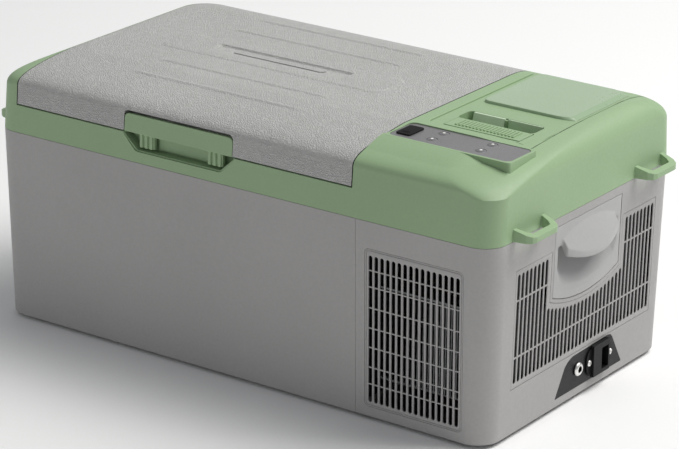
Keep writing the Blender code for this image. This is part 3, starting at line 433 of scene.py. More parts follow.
surface("plated_steel", (0.56, 0.56, 0.55), 0.36, 1.0, 0.0009, 0.00002, 0.08, (0.2, 1, 1))
surface("compressor_black", (0.018, 0.018, 0.02), 0.30, depth=0.00004, mottle=0.2, coat=0.4)
surface("copper_tube", (0.74, 0.36, 0.21), 0.32, 1.0, 0.0010, 0.00002, 0.14, (1, 1, 0.3))
# The fins' colour is darkened far below bare aluminium: painted shade behind the front grille.
surface("fin_aluminium", (0.22, 0.225, 0.23), 0.36, 1.0, 0.0006, 0.00002, 0.06, (1, 1, 0.1))
surface("foam", (0.76, 0.66, 0.42), 0.85, cell=0.0020, depth=0.0004, mottle=0.12)
surface("circuit_board", (0.02, 0.16, 0.07), 0.35, cell=0.0015, depth=0.00003, mottle=0.3)
# A paler copy of the frame's green for the phone slot's rest and back wall: painted light inside the slot.
surface("pale_green", (0.62, 0.78, 0.55), 0.40, cell=0.0008, depth=0.00001, mottle=0.02)
surface("glossy_green", (0.34, 0.47, 0.30), 0.30, cell=0.0006, depth=0.000008, mottle=0.02, coat=0.15)


def dress(thing, body, slot, *stands_for, look=None):
    """Gives a new piece its material and its body, and hides the CAD nodes that it stands for."""
    thing.data.materials.clear()
    thing.data.materials.append(SURFACES[look or slot])
    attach(thing, body)
    if stands_for:
        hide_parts(*stands_for)
    return thing


# ------------------------------------------------------------ outer form


def sides_at(t):
    """Left, right, front and back of the shoulder at t, from 0 where it starts to 1 at the top."""
    bend = 1 - math.sqrt(max(0.0, 1 - t * t))
    left = -LENGTH / 2 + LEFT_SLOPE[0] + LEFT_SLOPE[1] * t ** LEFT_SLOPE[2]
    right = LENGTH / 2 - RIGHT_ROUND[0] - RIGHT_ROUND[1] * bend
    front = -WIDTH / 2 + FRONT_SLOPE[0] + FRONT_SLOPE[1] * t ** FRONT_SLOPE[2]
    back = WIDTH / 2 - BACK_ROUND[0] - BACK_ROUND[1] * bend
    return left, right, front, back


def plan_ring(left, right, front, back, radius, soft):
    ring = []
    corners = ((right, back, -1, -1), (left, back, 1, -1), (left, front, 1, 1), (right, front, -1, 1))
    for turn, (side_x, side_y, in_x, in_y) in enumerate(corners):
        radius_x, radius_y = soft if turn == 3 else (radius, radius)
        for step in range(CORNER_STEPS + 1):
            angle = math.pi / 2 * (turn + step / CORNER_STEPS)
            x = side_x + in_x * radius_x + radius_x * math.cos(angle)
            y = side_y + in_y * radius_y + radius_y * math.sin(angle)
            ring.append((x, y))
    return ring


def form_levels():
    half_x, half_y = LENGTH / 2, WIDTH / 2
    levels = []
    for height, inward in ((0, DRAFT + BOTTOM_ROUND), (BOTTOM_ROUND, DRAFT), (BODY_TOP - FOOT_HEIGHT, 0)):
        sides = (-half_x + inward, half_x - inward, -half_y + inward, half_y - inward)
        levels.append((FOOT_HEIGHT + height, sides, CORNER_RADIUS, (CORNER_RADIUS, CORNER_RADIUS)))
    for step in range(SHOULDER_STEPS + 1):
        t = math.sin(math.pi / 2 * step / SHOULDER_STEPS)
        soft = [CORNER_RADIUS + growth * t for growth in SOFT_CORNER_GROWTH]
        height = SHOULDER_START + (HEIGHT - SHOULDER_START) * t
        levels.append((height, sides_at(t), CORNER_RADIUS + CORNER_GROWTH * t, soft))
    return levels


def outer_form(name, inset=0.0):
    rings = []
    less = 0.8 * inset
    for height, (left, right, front, back), radius, (soft_x, soft_y) in form_levels():
        if height < 0.01:
            height += inset
        if height > BODY_TOP + 0.01:
            height -= inset
        soft = (soft_x - less, soft_y - less)
        plan = plan_ring(left + inset, right - inset, front + inset, back - inset, radius - less, soft)
        rings.append([(x, y, height) for x, y in plan])
    return loft(name, rings)


def skin(name, thickness, region):
    return cut(keep(outer_form(name), region), outer_form("inside", thickness))


# ------------------------------------------------------------ grey body


def arc_outline(half, top, side_bottom, middle_bottom, steps=28):
    outline = [(END_MIDDLE + half, top), (END_MIDDLE - half, top)]
    for step in range(steps + 1):
        across = -1 + 2 * step / steps
        drop = (side_bottom - middle_bottom) * (1 - across**2)
        outline.append((END_MIDDLE + half * across, side_bottom - drop))
    return outline


def end_prism(name, outline):
    """An outline given as (y, z), extruded through the right end's wall."""
    return prism(name, outline, "X", *END_SPAN)


def handle_outline(inset):
    return arc_outline(HANDLE_HALF - inset, 0.185 - inset, 0.117 + inset, 0.106 + inset)


def end_grille_outline(grow):
    front, back = END_MIDDLE - 0.122 - grow, END_MIDDLE + 0.122 + grow
    low = 0.0485 - grow
    high = 0.163 + grow
    notch = arc_outline(0.062 - grow, high, 0.114 + grow, 0.102 + grow)
    inner = [notch[0], *reversed(notch[2:]), notch[1]]
    return [(front, low), (back, low), (back, high), *inner, (front, high)]


def inlet_outline(g):
    return [
        (-0.0392 - g, 0.0120 - g),
        (0.0792 + g, 0.0120 - g),
        (0.0600 + g, 0.0428),
        (0.0568 + g, 0.0460),
        (0.0520, 0.0468 + g),
        (-0.0110, 0.0456 + g),
        (-0.0183 - g, 0.0430 + g),
        (-0.0240 - g, 0.0390),
    ]


def upright_panel(name, low, high, radius, near, far):
    """A rounded rectangle in the front's plane, given as (x, z) corners, from y near to y far."""
    panel = slab(name, (*low, near), (*high, far), radius, 8)
    panel.data.transform(Matrix(((1, 0, 0, 0), (0, 0, 1, 0), (0, 1, 0, 0), (0, 0, 0, 1))))
    panel.data.flip_normals()
    return panel


def make_body():
    shell = keep(outer_form("shell"), cross_slab("keep", -FAR_X, COVER_SPLIT, 0, BODY_TOP))
    hollow = keep(outer_form("hollow", WALL), cross_slab("keep", -FAR_X, COVER_SPLIT - WALL, 0, FAR_Z))
    opening = prism("opening", [(-y, z) for y, z in handle_outline(-GAP)], "X", -0.30, -0.26)
    dress(shade(cut(shell, hollow, opening)), "cabinet", "grey_body", "body_shell")

    region = cross_slab("keep", COVER_SPLIT + 0.00025, FAR_X, 0, BODY_TOP)
    cover = keep(outer_form("cooling_cover"), region)
    low_x, high_x, low_z, high_z = FRONT_GRILLE
    openings = [
        slab("floor", (0.10, -0.1534, 0), (0.2784, 0.1534, 0.01), 0.022),
        upright_panel("front", (low_x, low_z), (high_x, high_z), 0.005, -0.17, -0.14),
        upright_panel("back", (low_x, low_z), (high_x, high_z), 0.005, 0.14, 0.17),
        end_prism("end", end_grille_outline(GAP)),
        end_prism("handle", handle_outline(-GAP)),
        cut(end_prism("plate", inlet_outline(GAP)), outer_form("inside", 0.0015)),
        cylinder("jack", 0.0062, (0.26, *JACK), (0.29, *JACK)),
        slab("socket", (0.26, 0.0322, 0.0162), (0.29, 0.0498, 0.0432)),
    ]
    cut(cover, outer_form("hollow", WALL), *openings)
    dress(shade(cover), "cabinet", "grey_body", "machine_cover")


def slot_outline(middle, low, high, half, steps=6):
    """An upright slot with round ends, as (across, up)."""
    outline = []
    for centre, start in ((high - half, 0), (low + half, math.pi)):
        for step in range(steps + 1):
            angle = start + math.pi * step / steps
            outline.append((middle + half * math.cos(angle), centre + half * math.sin(angle)))
    return outline


def round_bars(grille, width):
    """Welds a grille and rounds the edges of its bars."""
    weld = grille.modifiers.new("Weld", "WELD")
    weld.merge_threshold = 1e-5
    bevel = grille.modifiers.new("Bevel", "BEVEL")
    bevel.width = width
    bevel.segments = 3
    bevel.limit_method = "ANGLE"
    bevel.angle_limit = math.radians(50)
    settle(grille)
    grille.data.shade_smooth()
    grille.data.set_sharp_from_angle(angle=math.radians(40))
    return grille


def make_side_grille(name, side, ribs):
    """The slotted insert of the front or back wall, with a stepped border and thin cross ribs."""
    low_x, high_x, low_z, high_z = FRONT_GRILLE
    middle = (low_x + high_x) / 2
    bottom, top = FRONT_SLOTS
    wall = sorted((side * 0.14, side * 0.17))

    def panel(inset, radius, extra=0.0):
        corners = (low_x + inset, low_z + inset), (high_x - inset, high_z - inset)
        return upright_panel("panel", *corners, radius, wall[0] - extra, wall[1] + extra)

    grille = skin(name, 0.0016, panel(GAP, 0.0046))
    step = cut(panel(0.0016, 0.0036), panel(0.0021, 0.0032, 0.01), outer_form("under", 0.0007))
    slots = []
    for column in range(FRONT_COLUMNS):
        centre = middle + (column - (FRONT_COLUMNS - 1) / 2) * FRONT_PITCH
        slots.append(prism("slot", slot_outline(centre, bottom, top, SLOT_WIDTH / 2), "Y", *wall))
    cut(grille, step, merge(*slots))
    round_bars(grille, 0.0007)
    reach = (FRONT_COLUMNS - 1) / 2 * FRONT_PITCH + SLOT_WIDTH
    bars = []
    for level in ribs:
        low, high = (middle - reach, wall[0], level - 0.00055), (middle + reach, wall[1], level + 0.00055)
        bars.append(slab("rib", low, high))
    cross = cut(keep(outer_form("ribs", 0.0004), merge(*bars)), outer_form("inside", 0.0014))
    dress(merge(grille, cross), "cabinet", "grey_body", name.removesuffix("_bars"))


def make_end_grille():
    """Slim upright bars round the handle, with thin cross ribs set back between them."""
    grille = skin("end_grille_bars", 0.0011, end_prism("region", end_grille_outline(0)))
    slots = []
    half = END_COLUMNS / 2 * END_PITCH
    for column in range(END_COLUMNS):
        across = (column - (END_COLUMNS - 1) / 2) * END_PITCH
        top = 0.1585
        if abs(across) <= END_NOTCH_HALF:
            top = 0.110 - 0.012 * (1 - (across / END_NOTCH_HALF) ** 2)
        outline = slot_outline(END_MIDDLE + across, END_SLOT_BOTTOM, top, END_SLOT_WIDTH / 2, 4)
        slots.append(end_prism("slot", outline))
    cut(grille, merge(*slots))
    round_bars(grille, 0.0005)
    low_rib, high_rib = END_RIBS
    bars = []
    left_part, right_part = (-half, -END_NOTCH_HALF, high_rib), (END_NOTCH_HALF, half, high_rib)
    for near, far, level in ((-half, half, low_rib), left_part, right_part):
        low, high = (0.26, END_MIDDLE + near, level - 0.0007), (0.30, END_MIDDLE + far, level + 0.0007)
        bars.append(slab("bar", low, high))
    ribs = cut(keep(outer_form("ribs", 0.0001), merge(*bars)), outer_form("inside", 0.0010))
    dress(merge(grille, ribs), "cabinet", "grey_body", "end_grille")


def grip_section(u):
    wall = LENGTH / 2
    top = 0.1788 - 0.0088 * u * u
    proud = wall + 0.0128 - 0.0078 * u * u
    edge = 0.1510 + 0.0110 * u * u
    under = 0.1466 + 0.0082 * u * u
    return [
        (wall - 0.0028, top),
        (wall + 0.0002, top),
        (proud, edge + 0.0010),
        (proud, under + 0.0010),
        (proud - 0.0012, under),
        (proud - 0.0040, under + 0.0012),
        (wall - 0.0028, 0.1655),
    ]


def pocket_outline(half, top, rise, radius=0.010, steps=24):
    """The finger pocket as (y, z): a bowed lower edge, lifted by rise, with rounded corners."""
    outline = [(END_MIDDLE + half, top), (END_MIDDLE - half, top)]
    for step in range(steps + 1):
        across = -1 + 2 * step / steps
        bow = 0.1265 + rise - 0.011 * (1 - across**2)
        corner = max(0.0, abs(across) * half - half + radius)
        lift = radius - math.sqrt(max(0.0, radius**2 - corner**2))
        outline.append((END_MIDDLE + half * across, min(bow + lift, top - 0.001)))
    return outline


def make_handles():
    """Face plate, scooped finger pocket and proud grip, all with soft moulded edges."""
    plate = skin("plate", WALL, end_prism("region", handle_outline(0)))
    rings = []
    for step in range(17):
        rise = 1 - step / 16
        x = 0.2843 - 0.0198 * rise**1.5
        scoop = pocket_outline(HANDLE_HALF - 0.0055 - 0.010 * rise, 0.1650 - 0.004 * rise, 0.034 * rise)
        rings.append([(x, y, z) for y, z in scoop])
    rings.append([(0.300, y, z) for _, y, z in rings[-1]])
    hollow = loft("hollow", rings)
    room = arc_outline(HANDLE_HALF - 0.0035, 0.1680, 0.1235, 0.1125)
    join(plate, prism("pocket", room, "X", 0.2620, 0.2835))
    cut(plate, hollow)
    sections = []
    for step in range(41):
        u = -1 + step / 20
        sections.append([(x, END_MIDDLE + u * GRIP_HALF, z) for x, z in grip_section(u)])
    join(plate, loft("grip", sections))
    soften(plate, 0.0008, 5)
    left = new_object("handle_left_soft", plate.data.copy())
    left.data.transform(Matrix.Rotation(math.pi, 4, "Z"))
    plate.name = "handle_right_soft"
    dress(plate, "cabinet", "handle_grey", "handle_right")
    dress(left, "cabinet", "handle_grey", "handle_left")


# ------------------------------------------------------- green top frame


def knuckle(name, radius, low, high):
    return cylinder(name, radius, (low, HINGE_Y, HINGE_Z), (high, HINGE_Y, HINGE_Z))


def knuckle_pairs(name, radius, near, far):
    """Knuckles on the left and then on the right of both hinges, from near to far off their centres."""
    pairs = [knuckle(name, radius, c - far, c - near) for c in HINGE_CENTRES]
    return pairs + [knuckle(name, radius, c + near, c + far) for c in HINGE_CENTRES]


def strap_loop(side_x, side_y):
    root = 0.2820
    centre_y = side_y * LOOP_Y + side_x * END_MIDDLE
    half = [(root, 0.0264), (0.2845, 0.0262), (0.2975, 0.0240), (0.3022, 0.0208), (LOOP_END, 0.0160)]
    hole = [(0.2848, 0.0208), (0.2935, 0.0180), (0.2978, 0.0142)]
    outer = half + [(x, -y) for x, y in reversed(half)]
    inner = hole + [(x, -y) for x, y in reversed(hole)]
    profile = [
        (root, BODY_TOP + GAP),
        (root, 0.2062),
        (LOOP_END, 0.1998),
        (LOOP_END, 0.1945),
        (0.3020, BODY_TOP + GAP),
    ]
    loop = prism("loop", [(side_x * x, centre_y + y) for x, y in outer], "Z", 0.190, 0.207)
    keep(loop, prism("side", [(side_x * x, z) for x, z in profile], "Y", centre_y - 0.04, centre_y + 0.04))
    cut(loop, prism("hole", [(side_x * x, centre_y + y) for x, y in inner], "Z", 0.18, 0.21))
    return soften(loop, 0.00045, 4)


def finger_recess(inset=0.0):
    left, right = RECESS
    return [
        (left, 0.23),
        (right, 0.23),
        (right - inset, 0.2195),
        (right - 0.0145 - inset, 0.2065 + inset),
        (right - 0.0165, 0.2055 + inset),
        (left + 0.0165, 0.2055 + inset),
        (left + 0.0145 + inset, 0.2065 + inset),
        (left + inset, 0.2195),
    ]


def front_height(y):
    """Height of the shoulder's front slope at y."""
    t = ((y - sides_at(0)[2]) / FRONT_SLOPE[1]) ** (1 / FRONT_SLOPE[2])
    return SHOULDER_START + (HEIGHT - SHOULDER_START) * t


def panel_apron(edge):
    """Runs from the panel's edge down to the front slope, and sinks into the shoulder at the right."""
    rings = []
    drop = APRON_TOP - front_height(edge - APRON_REACH) + 0.0003
    tuck = 0.004
    start, end = LID_RIGHT + SEAM, PANEL[1] + 0.0015
    for step in range(33):
        x = start + (end - start) * step / 32
        top = APRON_TOP - 0.0090 * ease(x, 0.216, 0.268)
        ring = [(x, edge + tuck, top)]
        for share in (0, 0.15, 0.3, 0.45, 0.6, 0.75, 0.9, 1):
            fall = 0.6 * share + 0.4 * share**2
            ring.append((x, edge - APRON_REACH * share, top - drop * fall))
        ring += [(x, edge, top - drop - tuck), (x, edge + tuck, top - drop - tuck)]
        rings.append(ring)
    return loft("apron", rings)


def make_top_frame():
    top = keep(outer_form("green_frame"), cross_slab("keep", -FAR_X, FAR_X, BODY_TOP + GAP, FAR_Z))
    low_x, high_x, low_y, high_y = PANEL
    boss_low = (low_x - 0.0025, low_y - 0.0030, 0.245)
    boss = slab("boss", boss_low, (high_x + 0.0025, high_y + 0.0030, 0.2594), 0.003, 6, 0.0005)
    join(top, boss, panel_apron(boss_low[1]))
    lid_space = cross_slab("lid_space", LID_LEFT - SEAM, LID_RIGHT + SEAM, DECK_TOP, FAR_Z)
    hollow = outer_form("hollow", WALL)
    latch_low, latch_high = RECESS[0] - WALL, RECESS[1] + WALL
    cut(
        hollow,
        cross_slab("deck", LID_LEFT - GAP - WALL, LID_RIGHT + GAP + WALL, DECK_UNDER, FAR_Z),
        slab("latch_block", (latch_low, -0.17, 0.201), (latch_high, POCKET_BACK - 0.0005, 0.22)),
        slab("boss_floor", (0.130, -0.125, 0.2540), (0.2735, -0.060, 0.27)),
        slab("tray_floor", (0.130, -0.0650, 0.2550), (0.2660, 0.1320, 0.27)),
        plan_slab("slot_walls", SLOT, WALL, SLOT_FLOOR - 0.0025, HEIGHT),
        slab("flap_floor", (FLAP[0] - WALL, FLAP[2] - WALL, 0.2520), (FLAP[1] + WALL, FLAP[3], HEIGHT)),
    )
    cut(top, lid_space, hollow)

    margin = TUB_WALL + 0.0004
    tray_low, tray_high = (0.1475, -0.0575, TRAY_FLOOR), (0.2580, 0.1290, TRAY_FLOOR + 0.0024)
    tray = slab("tray", tray_low, tray_high, 0.006, 10, lean=(-0.002, 0, -0.001, -0.002))
    crest = skin("crest", 0.0009, slab("region", (0.2592, -0.062, 0.24), (0.2600, 0.150, 0.27)))
    groove = slab("groove", (0.1471, -0.0579, TRAY_FLOOR - 0.0008), (0.2586, 0.1294, 0.27), 0.0066, 10)
    cut(groove, slab("tray_island", (0.1477, -0.0573, 0.25), (0.2579, 0.1288, 0.28), 0.006, 10))
    pivot_y, pivot_z = FLAP_PIVOT
    flap_low, flap_high = (FLAP[0] - 0.0003, FLAP[2] - 0.0002, 0.2547), (FLAP[1] + 0.0003, FLAP[3], 0.27)
    cut(
        top,
        plan_slab("tub", TUB, margin, 0.19, 0.23, TUB_RADIUS + margin),
        prism("finger_recess", finger_recess(), "Y", -0.17, -0.1470),
        prism("recess_rim", finger_recess(-0.0013), "Y", -0.17, -0.1574),
        slab("back_rebate", (LID_LEFT - GAP, 0.1505, 0.2185), (LID_RIGHT + GAP, FAR_Y, 0.23)),
        tray,
        groove,
        plan_slab("panel_seat", PANEL, GAP, PANEL_TOP - 0.0016, 0.27, PANEL_RADIUS + GAP, 10),
        slab("flap_bay", flap_low, flap_high, 0.0008, 3),
        plan_slab("phone_slot", SLOT, 0, SLOT_FLOOR, 0.27, 0.006, 8, 0, 0.003),
        cylinder("pivot", 0.0013, (FLAP[0] - 0.002, pivot_y, pivot_z), (FLAP[1] + 0.002, pivot_y, pivot_z)),
        plan_slab("usb_hole", USB_MOUTH, 0, 0.24, 0.27),
        *[cylinder("button_hole", 0.0054, (x, y, 0.24), (x, y, 0.27)) for x, y in BUTTONS.values()],
    )
    room = LID_KNUCKLE_END + 0.0005
    cut(top, *[knuckle("notch", KNUCKLE_CLEARANCE, c - room, c + room) for c in HINGE_CENTRES])
    join(top, *knuckle_pairs("ear", KNUCKLE_RADIUS, LID_KNUCKLE_END + 0.0007, FRAME_KNUCKLE_END))
    cut(top, crest)
    inside = SLOT_FLOOR + 0.001
    divider = slab("divider", (0.1992, -0.0085, inside), (0.2016, -0.0050, 0.2575), 0.0006, 2, 0.0006)
    dress(shade(merge(top, divider)), "cabinet", "green_trim", "top_frame")
    # The slot's rest and back wall take the paler green: painted light inside the slot.
    profile = [(-0.0078, 0.2582), (-0.0056, 0.2584), (-0.0056, inside), (-0.0240, inside)]
    rest = prism("slot_rest", profile, "X", SLOT[0] + 0.0050, 0.1990)
    dress(shade(rest), "cabinet", "green_trim", look="pale_green")
    wall_high = (SLOT[1] - 0.0030, -0.0056, 0.2584)
    wall = slab("slot_back", (0.2018, -0.0072, inside), wall_high, 0.0006, 2, 0.0003)
    dress(shade(wall), "cabinet", "green_trim", look="pale_green")
    pad_low, pad_high = (0.1545, 0.0215, 0.2580), (0.2560, 0.1250, PAD_TOP)
    pad = slab("phone_pad", pad_low, pad_high, 0.007, 10, 0.0006, lean=(0.001, 0.0075, 0.0005, 0.002))
    cut(pad, slab("sunk", (0.2, -0.1, TRAY_FLOOR - 0.002), (FAR_X, FAR_Y, TRAY_FLOOR)))
    dress(shade(pad), "cabinet", "green_trim", look="glossy_green")
    for side_x, end in ((-1, "left"), (1, "right")):
        for side_y, edge in ((-1, "front"), (1, "back")):
            loop = strap_loop(side_x, side_y)
            loop.name = f"strap_eye_{end}_{edge}"
            dress(loop, "cabinet", "green_trim")


# ------------------------------------------------------------------- lid


def ease(value, low, high):
    t = max(0.0, min(1.0, (value - low) / (high - low)))
    return t * t * (3 - 2 * t)


def rounded_distance(x, y, half_x, half_y, radius):
    """Distance from a rounded rectangle round the lid's middle, below 0 inside it."""
    dx, dy = abs(x - LID_MIDDLE) - half_x + radius, abs(y - LID_PATTERN_Y) - half_y + radius
    return math.hypot(max(dx, 0), max(dy, 0)) + min(max(dx, dy), 0) - radius


def lid_relief(x, y):
    """Height of the lid's moulded pattern over its plain top."""
    lift = 0.0008 * ease(-rounded_distance(x, y, 0.1285, 0.0245, 0.010), -0.0007, 0.0007)
    for across, half in LID_RIBS:
        beside = abs(y - LID_PATTERN_Y - across)
        along = ease(half - abs(x - LID_MIDDLE), 0, 0.016)
        lift += 0.0011 * along * (1 - ease(beside, 0.0006, 0.0036))
    badge_x = abs(x + 0.0645)
    if badge_x < 0.082 and -0.012 < y < 0.018:
        ramp = ease(y, -0.0100, 0.0140) * (1 - ease(y, 0.0143, 0.0156))
        lift -= 0.0021 * ramp * (1 - ease(badge_x, 0.0760, 0.0795))
    return lift


def raised(x, y, z):
    """The point with the pattern's height added, where the pattern is."""
    return (x, y, z + lid_relief(x, y)) if z > PATTERN_FROM else (x, y, z)


def front_levels(count):
    """Shoulder steps, from 0 to 1, that are even along the front slope."""
    last = 400
    fine = [k / last for k in range(last + 1)]
    path = [0.0]
    for before, after in zip(fine, fine[1:]):
        depth = sides_at(after)[2] - sides_at(before)[2]
        path.append(path[-1] + math.hypot(depth, (HEIGHT - SHOULDER_START) * (after - before)))
    levels, k = [], 0
    for step in range(count + 1):
        while k < last and path[k] < path[-1] * step / count:
            k += 1
        levels.append(fine[k])
    return levels


def corner_in(x, t):
    """How far the plan's left corner brings the front and back in at x."""
    radius = CORNER_RADIUS + CORNER_GROWTH * t
    beyond = sides_at(t)[0] + radius - x
    return radius - math.sqrt(max(0.0, radius * radius - beyond * beyond)) if beyond > 0 else 0.0


def lid_column(x, fronts, backs, bottom):
    """The lid cut across at x, from the front's lower edge over the top to the back's."""
    highest = 1.0
    if x < sides_at(1)[0]:
        highest = math.sqrt((x + LENGTH / 2 - LEFT_SLOPE[0]) / LEFT_SLOPE[1])
    start_front, start_back = sides_at(0)[2], sides_at(0)[3]
    lean = (SHOULDER_START - bottom) / (SHOULDER_START - BODY_TOP)
    column = [(x, start_front - FRONT_SLOPE[0] * lean, bottom)]
    for t in fronts:
        t *= highest
        z = SHOULDER_START + (HEIGHT - SHOULDER_START) * t
        column.append((x, sides_at(t)[2] + corner_in(x, t), z))
    top_front, top_z = column[-1][1], column[-1][2]
    top_back = sides_at(highest)[3] - corner_in(x, highest)
    for step in range(1, LID_ROWS):
        column.append((x, top_front + (top_back - top_front) * step / LID_ROWS, top_z))
    for t in backs:
        t *= highest
        z = SHOULDER_START + (HEIGHT - SHOULDER_START) * t
        column.append((x, sides_at(t)[3] - corner_in(x, t), z))
    column.append((x, start_back + BACK_ROUND[0] * lean, bottom))
    return column


def latch_outline(grow, headroom):
    left, right, top = LATCH[0] - grow, LATCH[1] + grow, LATCH_TOP + headroom
    radius = 0.005
    outline = [(right, 0.19), (left, 0.19)]
    for centre, start in ((left + radius, math.pi), (right - radius, math.pi / 2)):
        for step in range(9):
            angle = start - math.pi / 2 * step / 8
            outline.append((centre + radius * math.cos(angle), top - radius + radius * math.sin(angle)))
    return outline


def latch_pocket():
    """The room that the lid leaves round the latch."""
    return prism("pocket", latch_outline(0.0008, 0.0027), "Y", -FAR_Y, POCKET_BACK)


def make_lid():
    """The lid's skin as columns across it, with its moulded pattern, then its latch room and knuckles."""
    fronts = front_levels(70)
    backs = [math.sin(math.pi / 2 * (1 - step / 24)) for step in range(25)]
    bottom = LID_SEAM + SEAM
    columns = []
    for k in range(LID_COLUMNS + 1):
        x = LID_LEFT + (LID_RIGHT - LID_LEFT) * k / LID_COLUMNS
        column = lid_column(x, fronts, backs, bottom)
        columns.append([raised(*point) for point in column])
    bm = bmesh.new()
    grid = [[bm.verts.new(p) for p in column] for column in columns]
    for here, after in zip(grid, grid[1:]):
        for k in range(len(here) - 1):
            bm.faces.new((here[k], after[k], after[k + 1], here[k + 1]))
    for column in (grid[0], grid[-1]):
        lower = [bm.verts.new((v.co.x, v.co.y, bottom)) for v in column[1:-1]]
        lower = [column[0], *lower, column[-1]]
        for k in range(1, len(column) - 2):
            bm.faces.new((column[k], column[k + 1], lower[k + 1], lower[k]))
        bm.faces.new((column[0], column[1], lower[1]))
        bm.faces.new((column[-1], column[-2], lower[-2]))
    lid = from_bmesh("lid_skin", bm)
    thick = lid.modifiers.new("Thick", "SOLIDIFY")
    thick.thickness = 0.0026
    thick.offset = -1
    settle(lid)
    near, far = LID_KNUCKLE_END + 0.0001, FRAME_KNUCKLE_END + 0.0005
    notches = knuckle_pairs("notch", KNUCKLE_CLEARANCE, near, far)
    cut(lid, merge(latch_pocket(), *notches))
    block_low = (LATCH[0] - 0.0030, -FAR_Y, bottom)
    block_high = (LATCH[1] + 0.0030, POCKET_BACK + 0.002, 0.2445)
    block = keep(outer_form("block", 0.0012), slab("region", block_low, block_high))
    cut(block, latch_pocket())
    ears = [
        knuckle("ear", KNUCKLE_RADIUS, c - LID_KNUCKLE_END, c + LID_KNUCKLE_END) for c in HINGE_CENTRES
    ]
    merge(lid, block, *ears)
    dress(shade(lid, 40), "lid", "lid_grey", "lid_outer")

    strips = []
    for near, far in ((LID_LEFT - 0.0009, LID_LEFT + 0.0001), (LID_RIGHT - 0.0001, LID_RIGHT + 0.0009)):
        strips.append(slab("strip", (near, -FAR_Y, bottom + 0.0004), (far, 0.150, FAR_Z)))
    strip = cut(keep(outer_form("lid_edge_strip", 0.00005), merge(*strips)), outer_form("inside", 0.0016))
    dress(shade(strip), "lid", "black_rubber")

    bar = slab("blank_badge", (-0.1180, -0.0010, 0.2575), (-0.0110, 0.0085, 0.2611), 0.0046, 8, 0.0004)
    dress(shade(bar), "lid", "lid_grey")


def make_latch():
    region = prism("region", latch_outline(0, 0), "Y", -FAR_Y, -0.14)
    keep(region, slab("above_seam", (-0.2, -0.3, LID_SEAM + 0.0004), (0.1, 0, 0.3)))
    flap = skin("latch_cover", 0.0028, region)
    low, high = LATCH[0] + 0.0004, LATCH[1] - 0.0004
    barrel = cylinder("barrel", LATCH_KNUCKLE, (low, LATCH_Y, LATCH_Z), (high, LATCH_Y, LATCH_Z))
    legs = []
    for low, high in LEGS:
        legs.append(slab("leg", (low, -0.1550, 0.2080), (high, -0.1510, 0.2300)))
        for rib in range(3):
            middle = low + (high - low) * (rib + 0.5) / 3
            legs.append(slab("rib", (middle - 0.0017, -0.1568, 0.2083), (middle + 0.0017, -0.1545, 0.2240)))
    join(flap, barrel, *legs)
    soften(flap, 0.00038, 2)
    dress(flap, "latch", "green_trim", "latch_flap")


# --------------------------------------------------- tub and lid lining


def make_lining():
    top = 0.2223
    under = TUB_FLOOR - TUB_WALL
    tub = plan_slab("tub_lining", TUB, TUB_WALL, under, top, TUB_RADIUS + TUB_WALL, 14, 0, 0.004)
    join(tub, plan_slab("rim", TUB, 0.0115, DECK_TOP + GAP, top, 0.026, 14, 0.0006))
    cut(tub, plan_slab("inside", TUB, 0, TUB_FLOOR, 0.25, TUB_RADIUS, 14, 0, 0.006))
    dress(shade(tub), "cabinet", "lining_white", "inner_liner")

    plate_low = (LID_LEFT + 0.0027, -0.1535, 0.2266)
    lining = slab("lid_lining", plate_low, (LID_RIGHT - 0.0027, 0.1495, 0.2284), 0.006, 8)
    latch_low = (LATCH[0] - 0.0038, -FAR_Y, 0.2)
    cut(lining, slab("latch_room", latch_low, (LATCH[1] + 0.0038, -0.1405, 0.24)))
    join(lining, plan_slab("plug", TUB, -0.0025, 0.2120, 0.2275, 0.016, 12, 0, 0.003))
    cut(lining, plan_slab("inside", TUB, -0.0043, 0.2138, 0.24, 0.0142))
    dress(shade(lining), "lid", "lining_white", "lid_inner")

    seal = plan_slab("lid_seal", TUB, 0.0095, 0.2226, 0.2263, 0.022, 14, 0, 0.0014)
    cut(seal, plan_slab("inside", TUB, 0.001, 0.21, 0.24, 0.0175, 14))
    dress(shade(seal), "lid", "black_rubber", "lid_gasket")


# ----------------------------------------------- controls and connectors


